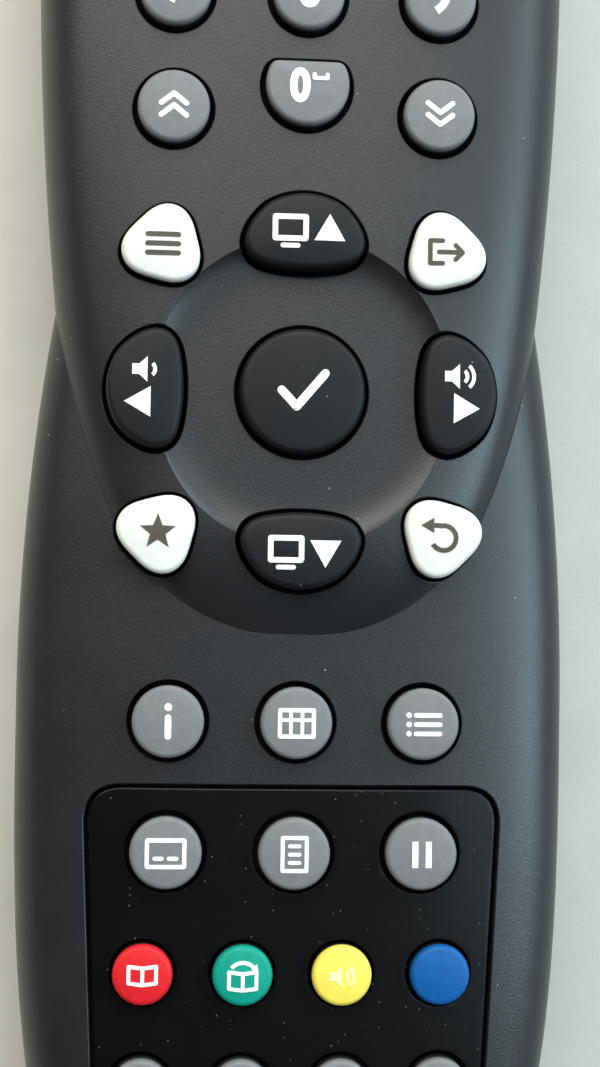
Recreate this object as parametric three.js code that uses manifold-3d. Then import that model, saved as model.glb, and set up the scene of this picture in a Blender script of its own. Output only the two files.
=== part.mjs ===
// Handheld remote control of a satellite receiver, lying on its back.
// Millimetres. +Y points to the infrared end, +Z out of the keys, and the sole lies on z = 0.
// Places along Y are first given from the middle of the round OK key.
import * as THREE from "three";
import { mergeVertices } from "three/addons/utils/BufferGeometryUtils.js";
import Module from "manifold-3d";

const wasm = await Module();
wasm.setup();

// Clearances
const seatGap = 0.3; // between pieces that seat on each other
const pressGap = 0.1; // left under a contact pill when its key is down
const overrun = 2; // how far a cutting solid runs past what it cuts
const weldDistance = 1e-4;

// Keys
const keyTravel = 0.8;
const keyProud = 1.4; // height of a key over the housing round it
const keyEdgeRadius = 0.45;
const keyCrown = 0.2;
const holeMargin = 0.65; // from the key's side to the edge of its hole
const skirtMargin = 1.0; // from the key's side to the rim of its skirt, which the hole's edge holds down
const skirtHeight = 0.6;
const pillRadius = 1.9;
const okPillRadius = 3.2;
const roundKeyDiameter = 6.6;
const colourKeyDiameter = 5.5;
const okKeyDiameter = 11.6;
const zeroKeyDiameter = 7.7;
const zeroFlatHeight = 2.1; // from the middle of the zero key's circle to its flat side
const archKeyLength = 11.2;
const archKeyWidth = 7.1;
const cornerKeyRadius = 3.5;
const cornerPointShare = 0.1; // how far the three corners of a corner key stand out

// Room between the skirts of neighbouring keys
const digitRoomAcross = 3.65;
const digitRoomAlong = 1.9;
const lastDigitRoom = 2.25; // over the page keys
const powerRoom = 2.2; // under the power key
const pageRoom = 4; // under the page keys
const channelRoom = 3.35;
const volumeRoom = 3.1;
const cornerRoomAcross = 1.9;
const upperCornerRoom = 1.95;
const lowerCornerRoom = 2.05;
const lowerRoomAcross = 3.15;
const lowerRoomAlong = 3.35;
const colourRoomAcross = 1.6;
const colourRoomAlong = 3;
const transportRoomAlong = 2.85;
const zeroKeyRise = 2.45; // of the zero key over the row of the page keys

// Margins from the keys to the edges of what holds them
const headSideMargin = 9.75;
const handleSideMargin = 9.75;
const noseMargin = 15; // from the middle of the power key
const heelMargin = 19.65; // from the inset plate
const tongueMargin = 4.25;
const infoMargin = 2.6; // from the tip of the tongue
const panelTopMargin = 1.55;
const panelBottomMargin = 3.35;
const panelSideMargin = 1.6;
const boardTopMargin = 1.7;
const boardBottomMargin = 8.5;
const matMargin = 1;

// Housing seen from above: a handle and, lapping over it, a head that ends in a round tongue
const headWidestY = 47.15;
const headSideRadius = 357;
const handleWidestY = -27.9;
const handleSideRadius = 217;
const waistY = 8.15;
const handleHiddenEndY = 25.5; // the handle runs on under the head to here
const tongueTaperShare = 0.17;

// Housing seen from the side
const wall = 1.5;
const partingHeight = 11.9;
const handleCrown = 20.2;
const headCrown = 22.4;
const tongueFall = 2.7; // how far the tongue slopes down to its tip
const tongueFallY = -11.5; // where the slope starts
const soleSink = 1.2; // how far the round underside is planed off to make the sole

// Roundness of the lofted outlines: 2 is an ellipse, higher values are squarer
const nosePlanPower = 4;
const tonguePlanPower = 2.9;
const heelPlanPower = 3;
const noseSidePower = 5;
const heelSidePower = 5;
const heelSolePower = 6;
const headSectionPower = 4;
const handleSectionPower = 3.5;
const undersideSectionPower = 3;

// Hollow round the middle keys
const dishRadius = 14.4;
const dishDepth = 1;
const dishProfileShares = [[0.6, 0.97], [0.82, 0.75], [0.94, 0.32], [1, 0]];

// Power cells, board and rubber mat, stacked up from the sole
const cellDiameter = 10.5;
const cellLength = 44.5;
const cellNubDiameter = 3.8;
const cellNubLength = 0.9;
const cellSpacing = 0.8;
const cellRibDrop = 2.6; // of the rib between the cells under the bay's roof
const cellRibThickness = 1.2;
const bayRoof = 1;
const boardThickness = 1;
const boardClearance = 1.3;
const matThickness = 0.6;
const matInset = 3.4;

// Inset plate under the lower keys
const panelTaper = 1.2; // on each side, from its upper edge to its lower one
const panelTopRadius = 3.3;
const panelBottomRadius = 6;
const panelSunk = 0.35;
const panelThickness = 1.15;
const ledgeWidth = 0.8;
const ledgeThickness = 0.6;

// Seam, screw, window, posts and door
const lipHeight = 1.7;
const lipThickness = 0.8;
const lipRoot = 2;
const hookDepth = 0.5; // of the snap hooks on the lip into the top shell's wall
const hookHeight = 0.6;
const hookLength = 5;
const hookPlaces = [-58, -20, 34, 62];
const screwMargin = 7.7; // from the heel
const screwHeadRadius = 2.3;
const screwHeadHeight = 1.4;
const screwShankRadius = 1.1;
const screwLength = 11.5;
const screwBossWall = 1.3;
const screwSeatThickness = 1.6;
const windowHalfWidth = 11;
const windowBottom = 7.4;
const windowTop = 15.6;
const windowThickness = 2.4;
const postRadius = 1.9;
const postX = 15.5;
const postPlaces = [16, 66];
const doorMargin = 1.4; // the door's plate past the bay on each side
const doorRail = 1;
const doorRailThickness = 0.8;
const doorTopMargin = 2;
const slabThickness = 1.5;
const slabMargin = 2.5;
const gripGrooves = 5;
const gripPitch = 1.8;
const gripWidth = 0.8;
const gripDepth = 0.5;
const gripHalfLength = 6;
const gripTopY = -34.5;

// Battery contacts
const plateThickness = 0.5;
const plateHeight = 9;
const plateWidth = 8.6;
const springWire = 0.6;
const springTurns = 3;
const springLength = 5;
const springFootRadius = 3.5;
const springTipRadius = 2.5;

// Parts on the board
const emitterRadius = 2.5;
const emitterLength = 7.6;
const emitterFlangeRadius = 2.9;
const emitterFlangeLength = 1;
const emitterLegSpacing = 2.54;
const emitterLegWidth = 0.5;
const emitterLegDrop = 2;
const chipLength = 13;
const chipWidth = 7.5;
const chipHeight = 2.3;
const chipChamfer = 0.4;
const chipY = 40;
const chipPins = 8;
const chipPinPitch = 1.27;
const chipPinWidth = 0.45;
const chipPinReach = 1.3;
const chipPinThickness = 0.3;
const resonatorLength = 7.4;
const resonatorWidth = 3;
const resonatorHeight = 5;
const resonatorX = 10;
const resonatorY = 40;
const capacitorRadius = 2.5;
const capacitorLength = 9;
const capacitorX = -11;
const capacitorY = 52;
const capacitorGroove = 0.35;
const capacitorBead = 1.4;
const transistorRadius = 2.2;
const transistorHeight = 4.4;
const transistorFlatShare = 0.5;
const transistorX = 9;
const transistorY = 60;

// Counts
const digitRows = 3;
const digitColumns = 3;
const sectionSteps = 10; // down each side of a housing section
const endStations = 6;
const tongueStations = 9;
const sideStations = 4;
const outlineSteps = 24;
const keySides = 12;
const largeKeySides = 16;
const dishSides = 28;
const postSides = 8;
const barrelSides = 14;
const wireSides = 5;
const wireSteps = 8; // round one turn

// Key places, worked out from the reach of each key's skirt and the room left between
const roundReach = roundKeyDiameter / 2 + skirtMargin;
const colourReach = colourKeyDiameter / 2 + skirtMargin;
const archReach = archKeyWidth / 2 + skirtMargin;
const archEndReach = archKeyLength / 2 + skirtMargin;
const cornerReach = cornerKeyRadius + skirtMargin;
const okReach = okKeyDiameter / 2 + skirtMargin;
const digitColumn = 2 * roundReach + digitRoomAcross;
const digitPitch = 2 * roundReach + digitRoomAlong;
const lowerColumn = 2 * roundReach + lowerRoomAcross;
const colourPitch = 2 * colourReach + colourRoomAcross;
const channelKeyY = okReach + archReach + channelRoom;
const volumeKeyX = okReach + archReach + volumeRoom;
const cornerKeyX = archEndReach + cornerReach + cornerRoomAcross;
const upperCornerY = archEndReach + cornerReach + upperCornerRoom;
const lowerCornerY = archEndReach + cornerReach + lowerCornerRoom;
const pageRowY = upperCornerY + cornerReach + roundReach + pageRoom;
const zeroKeyY = pageRowY + zeroKeyRise;
const lastDigitRowY = pageRowY + 2 * roundReach + lastDigitRoom;
const powerRowY = lastDigitRowY + (digitRows - 1) * digitPitch + 2 * roundReach + powerRoom;
const tongueReach = channelKeyY + archReach + tongueMargin;
const infoRowY = -tongueReach - infoMargin - roundReach;
const textRowY = infoRowY - 2 * roundReach - lowerRoomAlong;
const colourRowY = textRowY - roundReach - colourReach - colourRoomAlong;
const transportRowY = colourRowY - 2 * colourReach - transportRoomAlong;

// Edges worked out from the keys
const colourRowHalf = 1.5 * colourPitch + colourReach;
const panelTopY = textRowY + roundReach + panelTopMargin;
const panelBottomY = transportRowY - colourReach - panelBottomMargin;
const panelTopHalfWidth = colourRowHalf + panelSideMargin;
const panelBottomHalfWidth = panelTopHalfWidth - panelTaper;
const boardTopY = powerRowY + roundReach + boardTopMargin;
const boardBottomY = transportRowY - colourReach - boardBottomMargin;
const matTopY = powerRowY + roundReach + matMargin;
const matBottomY = transportRowY - colourReach - matMargin;
const headHalfWidth = digitColumn + roundKeyDiameter / 2 + headSideMargin;
const handleHalfWidth = colourRowHalf - skirtMargin + handleSideMargin;
const noseY = powerRowY + noseMargin;
const heelY = panelBottomY - heelMargin;
const screwY = heelY + screwMargin;

// Heights worked out from the stack
const seamLow = partingHeight - seatGap / 2;
const seamHigh = partingHeight + seatGap / 2;
const panelFloor = panelSunk + panelThickness; // depth of the plate's underside in the housing
const cellRadius = cellDiameter / 2;
const cellZ = wall + seatGap + cellRadius;
const bayTopZ = wall + 2 * seatGap + cellDiameter;
const roofZ = bayTopZ + bayRoof;
const boardZ = roofZ + seatGap;
const boardTopZ = boardZ + boardThickness;
const matZ = boardTopZ + seatGap;
const matTopZ = matZ + matThickness;
const pillZ = boardTopZ + keyTravel + pressGap;
const emitterZ = boardZ - seatGap - emitterFlangeRadius;

// Bay worked out from the cells and their contacts
const bayHalfWidth = cellDiameter + cellSpacing / 2 + seatGap;
const bayLength = cellLength + springLength + 2 * plateThickness + 4 * seatGap;
const bayBottomY = screwY + screwHeadRadius + screwBossWall + seatGap + wall;
const bayTopY = bayBottomY + bayLength;
const cellX = (cellDiameter + cellSpacing) / 2;
const doorHalfWidth = bayHalfWidth + doorMargin;
const doorTopY = bayTopY + doorTopMargin;

// Solids and meshes

const material = {
  housing: new THREE.MeshStandardMaterial({ color: 0x4b4f52, roughness: 0.5, metalness: 0.1 }),
  panel: new THREE.MeshStandardMaterial({ color: 0x1e1e1f, roughness: 0.45 }),
  greyKey: new THREE.MeshStandardMaterial({ color: 0x8b9092, roughness: 0.6 }),
  whiteKey: new THREE.MeshStandardMaterial({ color: 0xf4f5f2, roughness: 0.5 }),
  darkKey: new THREE.MeshStandardMaterial({ color: 0x2c3136, roughness: 0.55 }),
  redKey: new THREE.MeshStandardMaterial({ color: 0xf0404a, roughness: 0.5 }),
  greenKey: new THREE.MeshStandardMaterial({ color: 0x06b49b, roughness: 0.5 }),
  yellowKey: new THREE.MeshStandardMaterial({ color: 0xf2e26a, roughness: 0.5 }),
  blueKey: new THREE.MeshStandardMaterial({ color: 0x0a6db4, roughness: 0.5 }),
  rubber: new THREE.MeshStandardMaterial({ color: 0x141517, roughness: 0.85 }),
  board: new THREE.MeshStandardMaterial({ color: 0x7a5a2c, roughness: 0.6 }),
  window: new THREE.MeshStandardMaterial({ color: 0x1a0608, roughness: 0.15 }),
  metal: new THREE.MeshStandardMaterial({ color: 0xc0c2c4, roughness: 0.35, metalness: 1 }),
  cell: new THREE.MeshStandardMaterial({ color: 0x3c4a5c, roughness: 0.4, metalness: 0.3 }),
  resin: new THREE.MeshStandardMaterial({ color: 0x1b1b1c, roughness: 0.7 }),
  ceramic: new THREE.MeshStandardMaterial({ color: 0xc47a2c, roughness: 0.5 }),
  clear: new THREE.MeshStandardMaterial({ color: 0xa8b4c8, roughness: 0.1 }),
};

function solidOf(geometry) {
  const bare = geometry.index ? geometry.toNonIndexed() : geometry.clone();
  bare.deleteAttribute("normal");
  bare.deleteAttribute("uv");
  const welded = mergeVertices(bare, weldDistance);
  const vertProperties = welded.attributes.position.array;
  const triVerts = new Uint32Array(welded.index.array);
  return new wasm.Manifold(new wasm.Mesh({ numProp: 3, vertProperties, triVerts }));
}

function geometryOf(solid) {
  const mesh = solid.getMesh();
  const geometry = new THREE.BufferGeometry();
  geometry.setAttribute("position", new THREE.BufferAttribute(mesh.vertProperties, 3));
  geometry.setIndex(new THREE.BufferAttribute(mesh.triVerts, 1));
  geometry.computeVertexNormals();
  return geometry;
}

function join(solids) {
  return solids.reduce((sum, solid) => sum.add(solid));
}

function named(name, geometry, look) {
  const mesh = new THREE.Mesh(geometry, look);
  mesh.name = name;
  return mesh;
}

// A closed skin over rings of equal length. Seen from where the rings lead to, each runs anticlockwise.
// The middle of the last ring is lifted by crown.
function loft(rings, crown = 0) {
  const count = rings[0].length;
  const points = rings.flat();
  const index = [];
  for (let i = 0; i + 1 < rings.length; i++) {
    for (let j = 0; j < count; j++) {
      const a = i * count + j;
      const b = i * count + ((j + 1) % count);
      index.push(a, b, b + count, a, b + count, a + count);
    }
  }
  for (const [ring, last] of [[0, 0], [rings.length - 1, 1]]) {
    const centre = new THREE.Vector3();
    rings[ring].forEach((p) => centre.addScaledVector(p, 1 / count));
    centre.z += last * crown;
    points.push(centre);
    for (let j = 0; j < count; j++) {
      const pair = [ring * count + j, ring * count + ((j + 1) % count)];
      index.push(points.length - 1, pair[1 - last], pair[last]);
    }
  }
  const geometry = new THREE.BufferGeometry().setFromPoints(points);
  geometry.setIndex(index);
  geometry.computeVertexNormals();
  return geometry;
}

function box(x0, x1, y0, y1, z0, z1) {
  const geometry = new THREE.BoxGeometry(x1 - x0, y1 - y0, z1 - z0);
  return geometry.translate((x0 + x1) / 2, (y0 + y1) / 2, (z0 + z1) / 2);
}

function post(x, y, z0, z1, radius, sides = postSides) {
  const geometry = new THREE.CylinderGeometry(radius, radius, z1 - z0, sides);
  return geometry.rotateX(Math.PI / 2).translate(x, y, (z0 + z1) / 2);
}

function prism(outline, z0, z1) {
  const options = { depth: z1 - z0, bevelEnabled: false };
  return new THREE.ExtrudeGeometry(new THREE.Shape(outline), options).translate(0, 0, z0);
}

// Housing form

function rounded(share, power) {
  return (1 - Math.min(Math.abs(share), 1) ** power) ** (1 / power);
}

function signedPower(value, power) {
  return Math.sign(value) * Math.abs(value) ** power;
}

// Half width, rise above and drop below the parting plane of the head at y, drawn in by inset.
function headAt(y, inset) {
  const rise = headCrown - partingHeight - inset;
  const drop = partingHeight + soleSink - inset;
  const power = headSectionPower;
  const sideBow = (at) => (headWidestY - at) ** 2 / (2 * headSideRadius);
  if (y >= headWidestY) {
    const share = (y - headWidestY) / (noseY - inset - headWidestY);
    const side = rounded(share, noseSidePower);
    const width = (headHalfWidth - inset) * rounded(share, nosePlanPower);
    return { width, rise: rise * side, drop: drop * side, power };
  }
  if (y >= waistY) {
    return { width: headHalfWidth - inset - sideBow(y), rise, drop, power };
  }
  const share = (waistY - y) / (waistY + tongueReach - inset);
  const waistWidth = headHalfWidth - inset - sideBow(waistY);
  const width = waistWidth * (1 - tongueTaperShare * share) * rounded(share, tonguePlanPower);
  const slopeShare = Math.max(tongueFallY - y, 0) / (tongueFallY + tongueReach - inset);
  return { width, rise: rise - tongueFall * slopeShare ** 2, drop, power };
}

// The same of the handle.
function handleAt(y, inset) {
  const rise = handleCrown - partingHeight - inset;
  const drop = partingHeight + soleSink - inset;
  const power = handleSectionPower;
  if (y <= handleWidestY) {
    const share = (handleWidestY - y) / (handleWidestY - heelY - inset);
    const width = (handleHalfWidth - inset) * rounded(share, heelPlanPower);
    const side = rounded(share, heelSidePower);
    return { width, rise: rise * side, drop: drop * rounded(share, heelSolePower), power };
  }
  const bow = (y - handleWidestY) ** 2 / (2 * handleSideRadius);
  return { width: handleHalfWidth - inset - bow, rise, drop, power };
}

// Stations along y that lie evenly round an end of the given power.
function stationsTo(end, from, power, count = endStations) {
  return Array.from({ length: count }, (_, i) => {
    const angle = (Math.PI * (i + 1)) / (2 * count);
    return from + (end - from) * Math.sin(angle) ** (2 / power);
  });
}

function evenly(from, to, count) {
  return Array.from({ length: count }, (_, i) => from + ((to - from) * (i + 1)) / count);
}

const endShare = 0.9995; // the last station stops this near to the very end, where the width is nought

function housingPart(sizesAt, stations, inset) {
  const rings = stations.map((y) => {
    const { width, rise, drop, power } = sizesAt(y, inset);
    const ring = [];
    for (let i = 0; i < 2 * sectionSteps; i++) {
      const angle = (Math.PI * i) / sectionSteps;
      const upper = i <= sectionSteps / 2 || i >= (3 * sectionSteps) / 2;
      const squareness = 2 / (upper ? power : undersideSectionPower);
      const x = width * signedPower(Math.sin(angle), squareness);
      const z = partingHeight + (upper ? rise : drop) * signedPower(Math.cos(angle), squareness);
      ring.push(new THREE.Vector3(x, y, Math.max(z, inset)));
    }
    return ring;
  });
  return solidOf(loft(rings));
}

function head(inset) {
  const noseEnd = headWidestY + (noseY - inset - headWidestY) * endShare;
  const tipEnd = waistY - (waistY + tongueReach - inset) * endShare;
  const stations = [
    ...stationsTo(tipEnd, waistY, tonguePlanPower, tongueStations).reverse(),
    waistY,
    ...evenly(waistY, headWidestY, sideStations),
    ...stationsTo(noseEnd, headWidestY, nosePlanPower),
  ];
  return housingPart(headAt, stations, inset);
}

function handle(inset) {
  const heelEnd = handleWidestY - (handleWidestY - heelY - inset) * endShare;
  const stations = [
    ...stationsTo(heelEnd, handleWidestY, heelPlanPower).reverse(),
    handleWidestY,
    ...evenly(handleWidestY, handleHiddenEndY - inset, sideStations),
  ];
  return housingPart(handleAt, stations, inset);
}

function dish(drop) {
  const points = [new THREE.Vector2(0, -dishDepth)];
  for (const [radiusShare, depthShare] of dishProfileShares) {
    points.push(new THREE.Vector2(dishRadius * radiusShare, -dishDepth * depthShare));
  }
  points.push(new THREE.Vector2(dishRadius, overrun + drop), new THREE.Vector2(0, overrun + drop));
  const turned = new THREE.LatheGeometry(points, dishSides).rotateX(Math.PI / 2);
  return solidOf(turned.translate(0, 0, headCrown - drop));
}

function topOf({ width, rise, power }, x) {
  return Math.abs(x) < width ? partingHeight + rise * rounded(x / width, power) : partingHeight;
}

// Height of the housing's upper face at (x, y), or of a face that lies inset below it.
function surfaceAt(x, y, inset) {
  const inHead = y > -tongueReach + inset ? topOf(headAt(y, inset), x) : partingHeight;
  const surface = Math.max(inHead, topOf(handleAt(y, inset), x));
  const fromOk = Math.hypot(x, y) / dishRadius;
  const stops = [[0, 1], ...dishProfileShares];
  const next = stops.findIndex(([radiusShare]) => radiusShare >= fromOk);
  if (next < 1) {
    return next === 0 ? headCrown - inset - dishDepth : surface;
  }
  const [[r0, d0], [r1, d1]] = [stops[next - 1], stops[next]];
  const depthShare = THREE.MathUtils.mapLinear(fromOk, r0, r1, d0, d1);
  return Math.min(surface, headCrown - inset - dishDepth * depthShare);
}

// Outline of the whole housing at the parting plane, drawn in by inset, between two places along y.
function planOutline(inset, fromY, toY) {
  const widthAt = (y) => Math.max(
    y > -tongueReach + inset ? headAt(y, inset).width : 0,
    y < handleHiddenEndY ? handleAt(y, inset).width : 0,
  );
  const middle = (fromY + toY) / 2;
  const right = [];
  for (let i = 0; i <= outlineSteps; i++) {
    const y = middle - ((toY - fromY) / 2) * Math.cos((Math.PI * i) / outlineSteps);
    right.push(new THREE.Vector2(widthAt(y), y));
  }
  const open = right.filter((p) => p.x > seatGap);
  return [...open, ...open.map((p) => new THREE.Vector2(-p.x, p.y)).reverse()];
}

// Key forms

function circle(radius, sides) {
  return Array.from({ length: sides }, (_, i) => {
    const angle = (2 * Math.PI * i) / sides;
    return new THREE.Vector2(radius * Math.cos(angle), radius * Math.sin(angle));
  });
}

// A rounded triangle, one corner turned towards (towardsX, towardsY).
function cornerOutline(towardsX, towardsY) {
  const facing = Math.atan2(towardsY, towardsX);
  return Array.from({ length: largeKeySides }, (_, i) => {
    const angle = (2 * Math.PI * i) / largeKeySides;
    const radius = cornerKeyRadius * (1 + cornerPointShare * Math.cos(3 * (angle - facing)));
    return new THREE.Vector2(radius * Math.cos(angle), radius * Math.sin(angle));
  });
}

const archShares = [[0, 1], [0.54, 0.79], [0.86, 0.3], [1, -0.26], [0.9, -0.68], [0.62, -0.9], [0, -1]];

// An arch over a nearly straight side. Its arch is turned towards (outX, outY).
function archOutline(outX, outY) {
  const left = archShares.slice(1, -1).reverse().map(([u, v]) => [-u, v]);
  const places = [...archShares, ...left].reverse().map(([u, v]) => {
    const across = (u * archKeyLength) / 2;
    const out = (v * archKeyWidth) / 2;
    return new THREE.Vector3(across * outY + out * outX, out * outY - across * outX, 0);
  });
  const curve = new THREE.CatmullRomCurve3(places, true, "centripetal");
  return curve.getPoints(largeKeySides).slice(1).map((p) => new THREE.Vector2(p.x, p.y));
}

// A circle with its upper side cut flat and the two corners rounded.
function zeroOutline() {
  const radius = zeroKeyDiameter / 2;
  return circle(radius, largeKeySides).map((p) => {
    const y = Math.min(p.y, zeroFlatHeight * rounded(p.x / zeroKeyDiameter, nosePlanPower));
    return new THREE.Vector2(p.x, y);
  });
}

// The outline moved out by a distance along its own normals.
function grown(outline, distance) {
  const count = outline.length;
  return outline.map((p, i) => {
    const along = outline[(i + 1) % count].clone().sub(outline[(i + count - 1) % count]).normalize();
    return new THREE.Vector2(p.x + along.y * distance, p.y - along.x * distance);
  });
}

const roundOutline = circle(roundKeyDiameter / 2, keySides);
const colourOutline = circle(colourKeyDiameter / 2, keySides);
const okOutline = circle(okKeyDiameter / 2, largeKeySides);

const keys = [];

function addKey(name, x, y, outline, look, pill = pillRadius) {
  keys.push({ name, x, y, outline, look, pill });
}

addKey("power_key", -digitColumn, powerRowY, roundOutline, material.greyKey);
addKey("mute_key", digitColumn, powerRowY, roundOutline, material.greyKey);
for (let digit = 1; digit <= digitRows * digitColumns; digit++) {
  const column = ((digit - 1) % digitColumns) - (digitColumns - 1) / 2;
  const rowsUp = digitRows - Math.ceil(digit / digitColumns);
  const y = lastDigitRowY + rowsUp * digitPitch;
  addKey("digit_" + digit + "_key", column * digitColumn, y, roundOutline, material.greyKey);
}
addKey("page_up_key", -digitColumn, pageRowY, roundOutline, material.greyKey);
addKey("digit_0_key", 0, zeroKeyY, zeroOutline(), material.greyKey);
addKey("page_down_key", digitColumn, pageRowY, roundOutline, material.greyKey);
addKey("menu_key", -cornerKeyX, upperCornerY, cornerOutline(1, -1), material.whiteKey);
addKey("exit_key", cornerKeyX, upperCornerY, cornerOutline(-1, -1), material.whiteKey);
addKey("favourite_key", -cornerKeyX, -lowerCornerY, cornerOutline(1, 1), material.whiteKey);
addKey("recall_key", cornerKeyX, -lowerCornerY, cornerOutline(-1, 1), material.whiteKey);
addKey("channel_up_key", 0, channelKeyY, archOutline(0, 1), material.darkKey);
addKey("channel_down_key", 0, -channelKeyY, archOutline(0, -1), material.darkKey);
addKey("volume_down_key", -volumeKeyX, 0, archOutline(-1, 0), material.darkKey);
addKey("volume_up_key", volumeKeyX, 0, archOutline(1, 0), material.darkKey);
addKey("ok_key", 0, 0, okOutline, material.darkKey, okPillRadius);
["info_key", "guide_key", "list_key"].forEach((name, i) => {
  addKey(name, (i - 1) * lowerColumn, infoRowY, roundOutline, material.greyKey);
});
["subtitle_key", "text_key", "pause_key"].forEach((name, i) => {
  addKey(name, (i - 1) * lowerColumn, textRowY, roundOutline, material.greyKey);
});
["red_key", "green_key", "yellow_key", "blue_key"].forEach((name, i) => {
  const look = [material.redKey, material.greenKey, material.yellowKey, material.blueKey][i];
  addKey(name, (i - 1.5) * colourPitch, colourRowY, colourOutline, look);
});
["rewind_key", "play_key", "forward_key", "stop_key"].forEach((name, i) => {
  addKey(name, (i - 1.5) * colourPitch, transportRowY, colourOutline, material.greyKey);
});

function inPanel(key) {
  return key.y < panelTopY;
}

// The lowest that the housing's inner face comes over the skirt of a key.
function ceilingOver(key) {
  const rim = grown(key.outline, skirtMargin);
  const depth = inPanel(key) ? panelFloor : wall;
  return Math.min(...rim.map((p) => surfaceAt(key.x + p.x, key.y + p.y, depth)));
}

function keyGeometry(key) {
  const { outline, pill } = key;
  const sunk = inPanel(key) ? panelSunk : 0;
  const top = surfaceAt(key.x, key.y, sunk) + keyProud;
  const skirtTop = ceilingOver(key) - seatGap;
  const skirtRim = skirtTop - skirtHeight;
  const shoulder = top - keyEdgeRadius;
  const ringAt = (points, z) => points.map((p) => new THREE.Vector3(p.x, p.y, z));
  const stem = outline.map((p) => p.clone().normalize().multiplyScalar(pill));
  const rings = [
    ringAt(stem, pillZ),
    ringAt(stem, skirtRim),
    ringAt(grown(outline, skirtMargin), skirtRim),
    ringAt(outline, skirtTop),
    ringAt(outline, shoulder),
    ringAt(grown(outline, -keyEdgeRadius), top),
  ];
  return loft(rings, keyCrown);
}

// A clear shaft round a key, wider than it by margin.
function keyShaft(key, margin) {
  const shaft = prism(grown(key.outline, margin), boardTopZ, headCrown + overrun);
  return solidOf(shaft.translate(key.x, key.y, 0));
}

// Inset plate

function panelOutline(grow) {
  const shape = new THREE.Shape();
  const top = panelTopY + grow;
  const bottom = panelBottomY - grow;
  const topX = panelTopHalfWidth + grow;
  const bottomX = panelBottomHalfWidth + grow;
  const topCurve = panelTopRadius + grow;
  const bottomCurve = panelBottomRadius + grow;
  shape.moveTo(topX, top - topCurve);
  shape.quadraticCurveTo(topX, top, topX - topCurve, top);
  shape.lineTo(topCurve - topX, top);
  shape.quadraticCurveTo(-topX, top, -topX, top - topCurve);
  shape.lineTo(-bottomX, bottom + bottomCurve);
  shape.quadraticCurveTo(-bottomX, bottom, bottomCurve - bottomX, bottom);
  shape.lineTo(bottomX - bottomCurve, bottom);
  shape.quadraticCurveTo(bottomX, bottom, bottomX, bottom + bottomCurve);
  return shape.getPoints(cornerSteps);
}

const cornerSteps = 5;

function panelPrism(grow) {
  return solidOf(prism(panelOutline(grow), partingHeight, handleCrown + overrun));
}

// Battery door and the channel that it slides in

function doorBlank(grow) {
  const bottom = heelY - overrun;
  const floor = -grow * overrun;
  const plateX = doorHalfWidth + grow;
  const railX = plateX + doorRail;
  const railZ = wall - doorRailThickness - grow;
  const plate = box(-plateX, plateX, bottom, doorTopY + grow, floor - grow, wall + grow);
  const rails = box(-railX, railX, bottom, doorTopY + grow, railZ, wall + grow);
  return solidOf(plate).add(solidOf(rails));
}

function grooves() {
  return Array.from({ length: gripGrooves }, (_, i) => {
    const y = gripTopY - i * gripPitch;
    return solidOf(box(-gripHalfLength, gripHalfLength, y - gripWidth, y, -overrun, gripDepth));
  });
}

// Housing shells

function housing(inset) {
  return head(inset).add(handle(inset));
}

const body = housing(0);
const shell = body.subtract(housing(wall).subtract(dish(wall)));
const far = noseY - heelY;

function above(z) {
  return solidOf(box(-far, far, -far, far, z, far));
}

function windowBlock(grow) {
  const halfWidth = windowHalfWidth + grow;
  const back = noseY - windowThickness - grow;
  return solidOf(box(-halfWidth, halfWidth, back, far, windowBottom - grow, windowTop + grow));
}

function screwHole(radius, z0, z1) {
  return solidOf(post(0, screwY, z0, z1, radius));
}

// Snap hooks on the lip, or their pockets in the top shell's wall when grown by the gap.
function hooks(grow) {
  const low = seamHigh + hookHeight - grow;
  const high = seamHigh + 2 * hookHeight + grow;
  const blocks = hookPlaces.map((y) => {
    const reach = hookLength / 2 + grow;
    return solidOf(box(-far, far, y - reach, y + reach, low, high));
  });
  const band = housing(wall - hookDepth - grow).subtract(housing(wall + seatGap + lipThickness / 2));
  return band.intersect(join(blocks));
}

const screwSeatZ = wall + seatGap + screwHeadHeight + seatGap;
const bossZ = screwSeatZ + screwSeatThickness;
const screwTipZ = screwSeatZ + screwLength;

function topShell() {
  const holes = keys.filter((key) => !inPanel(key)).map((key) => keyShaft(key, holeMargin));
  const skirtRooms = keys.filter(inPanel).map((key) => keyShaft(key, skirtMargin + seatGap));
  const ledge = panelPrism(seatGap + ledgeWidth)
    .subtract(panelPrism(-ledgeWidth))
    .intersect(handle(wall / 2).subtract(handle(panelFloor + seatGap + ledgeThickness)))
    .subtract(panelPrism(seatGap).subtract(handle(panelFloor + seatGap)))
    .subtract(join(skirtRooms));
  const bossRadius = screwShankRadius + seatGap + screwBossWall;
  const boss = screwHole(bossRadius, bossZ + seatGap, handleCrown - wall / 2).intersect(body);
  return shell
    .intersect(above(seamHigh))
    .subtract(dish(0))
    .subtract(join(holes))
    .subtract(panelPrism(seatGap))
    .add(ledge)
    .add(boss.subtract(above(surfaceAt(0, screwY, wall / 2))))
    .subtract(screwHole(screwShankRadius + seatGap, bossZ, screwTipZ + seatGap))
    .subtract(windowBlock(seatGap))
    .subtract(hooks(seatGap));
}

function keyPanel() {
  const layer = handle(panelSunk).subtract(handle(panelFloor));
  const holes = keys.filter(inPanel).map((key) => keyShaft(key, holeMargin));
  return layer.intersect(panelPrism(0)).subtract(join(holes));
}

// The rim that stands up inside the top shell, with its root in the bottom shell's wall.
function lip() {
  const outside = wall + seatGap;
  const core = housing(outside + lipThickness);
  const root = housing(wall / 2).subtract(above(seamLow));
  const ring = housing(outside).subtract(above(seamLow + lipHeight)).add(root);
  return ring.intersect(above(seamLow - lipRoot)).subtract(core);
}

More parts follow.
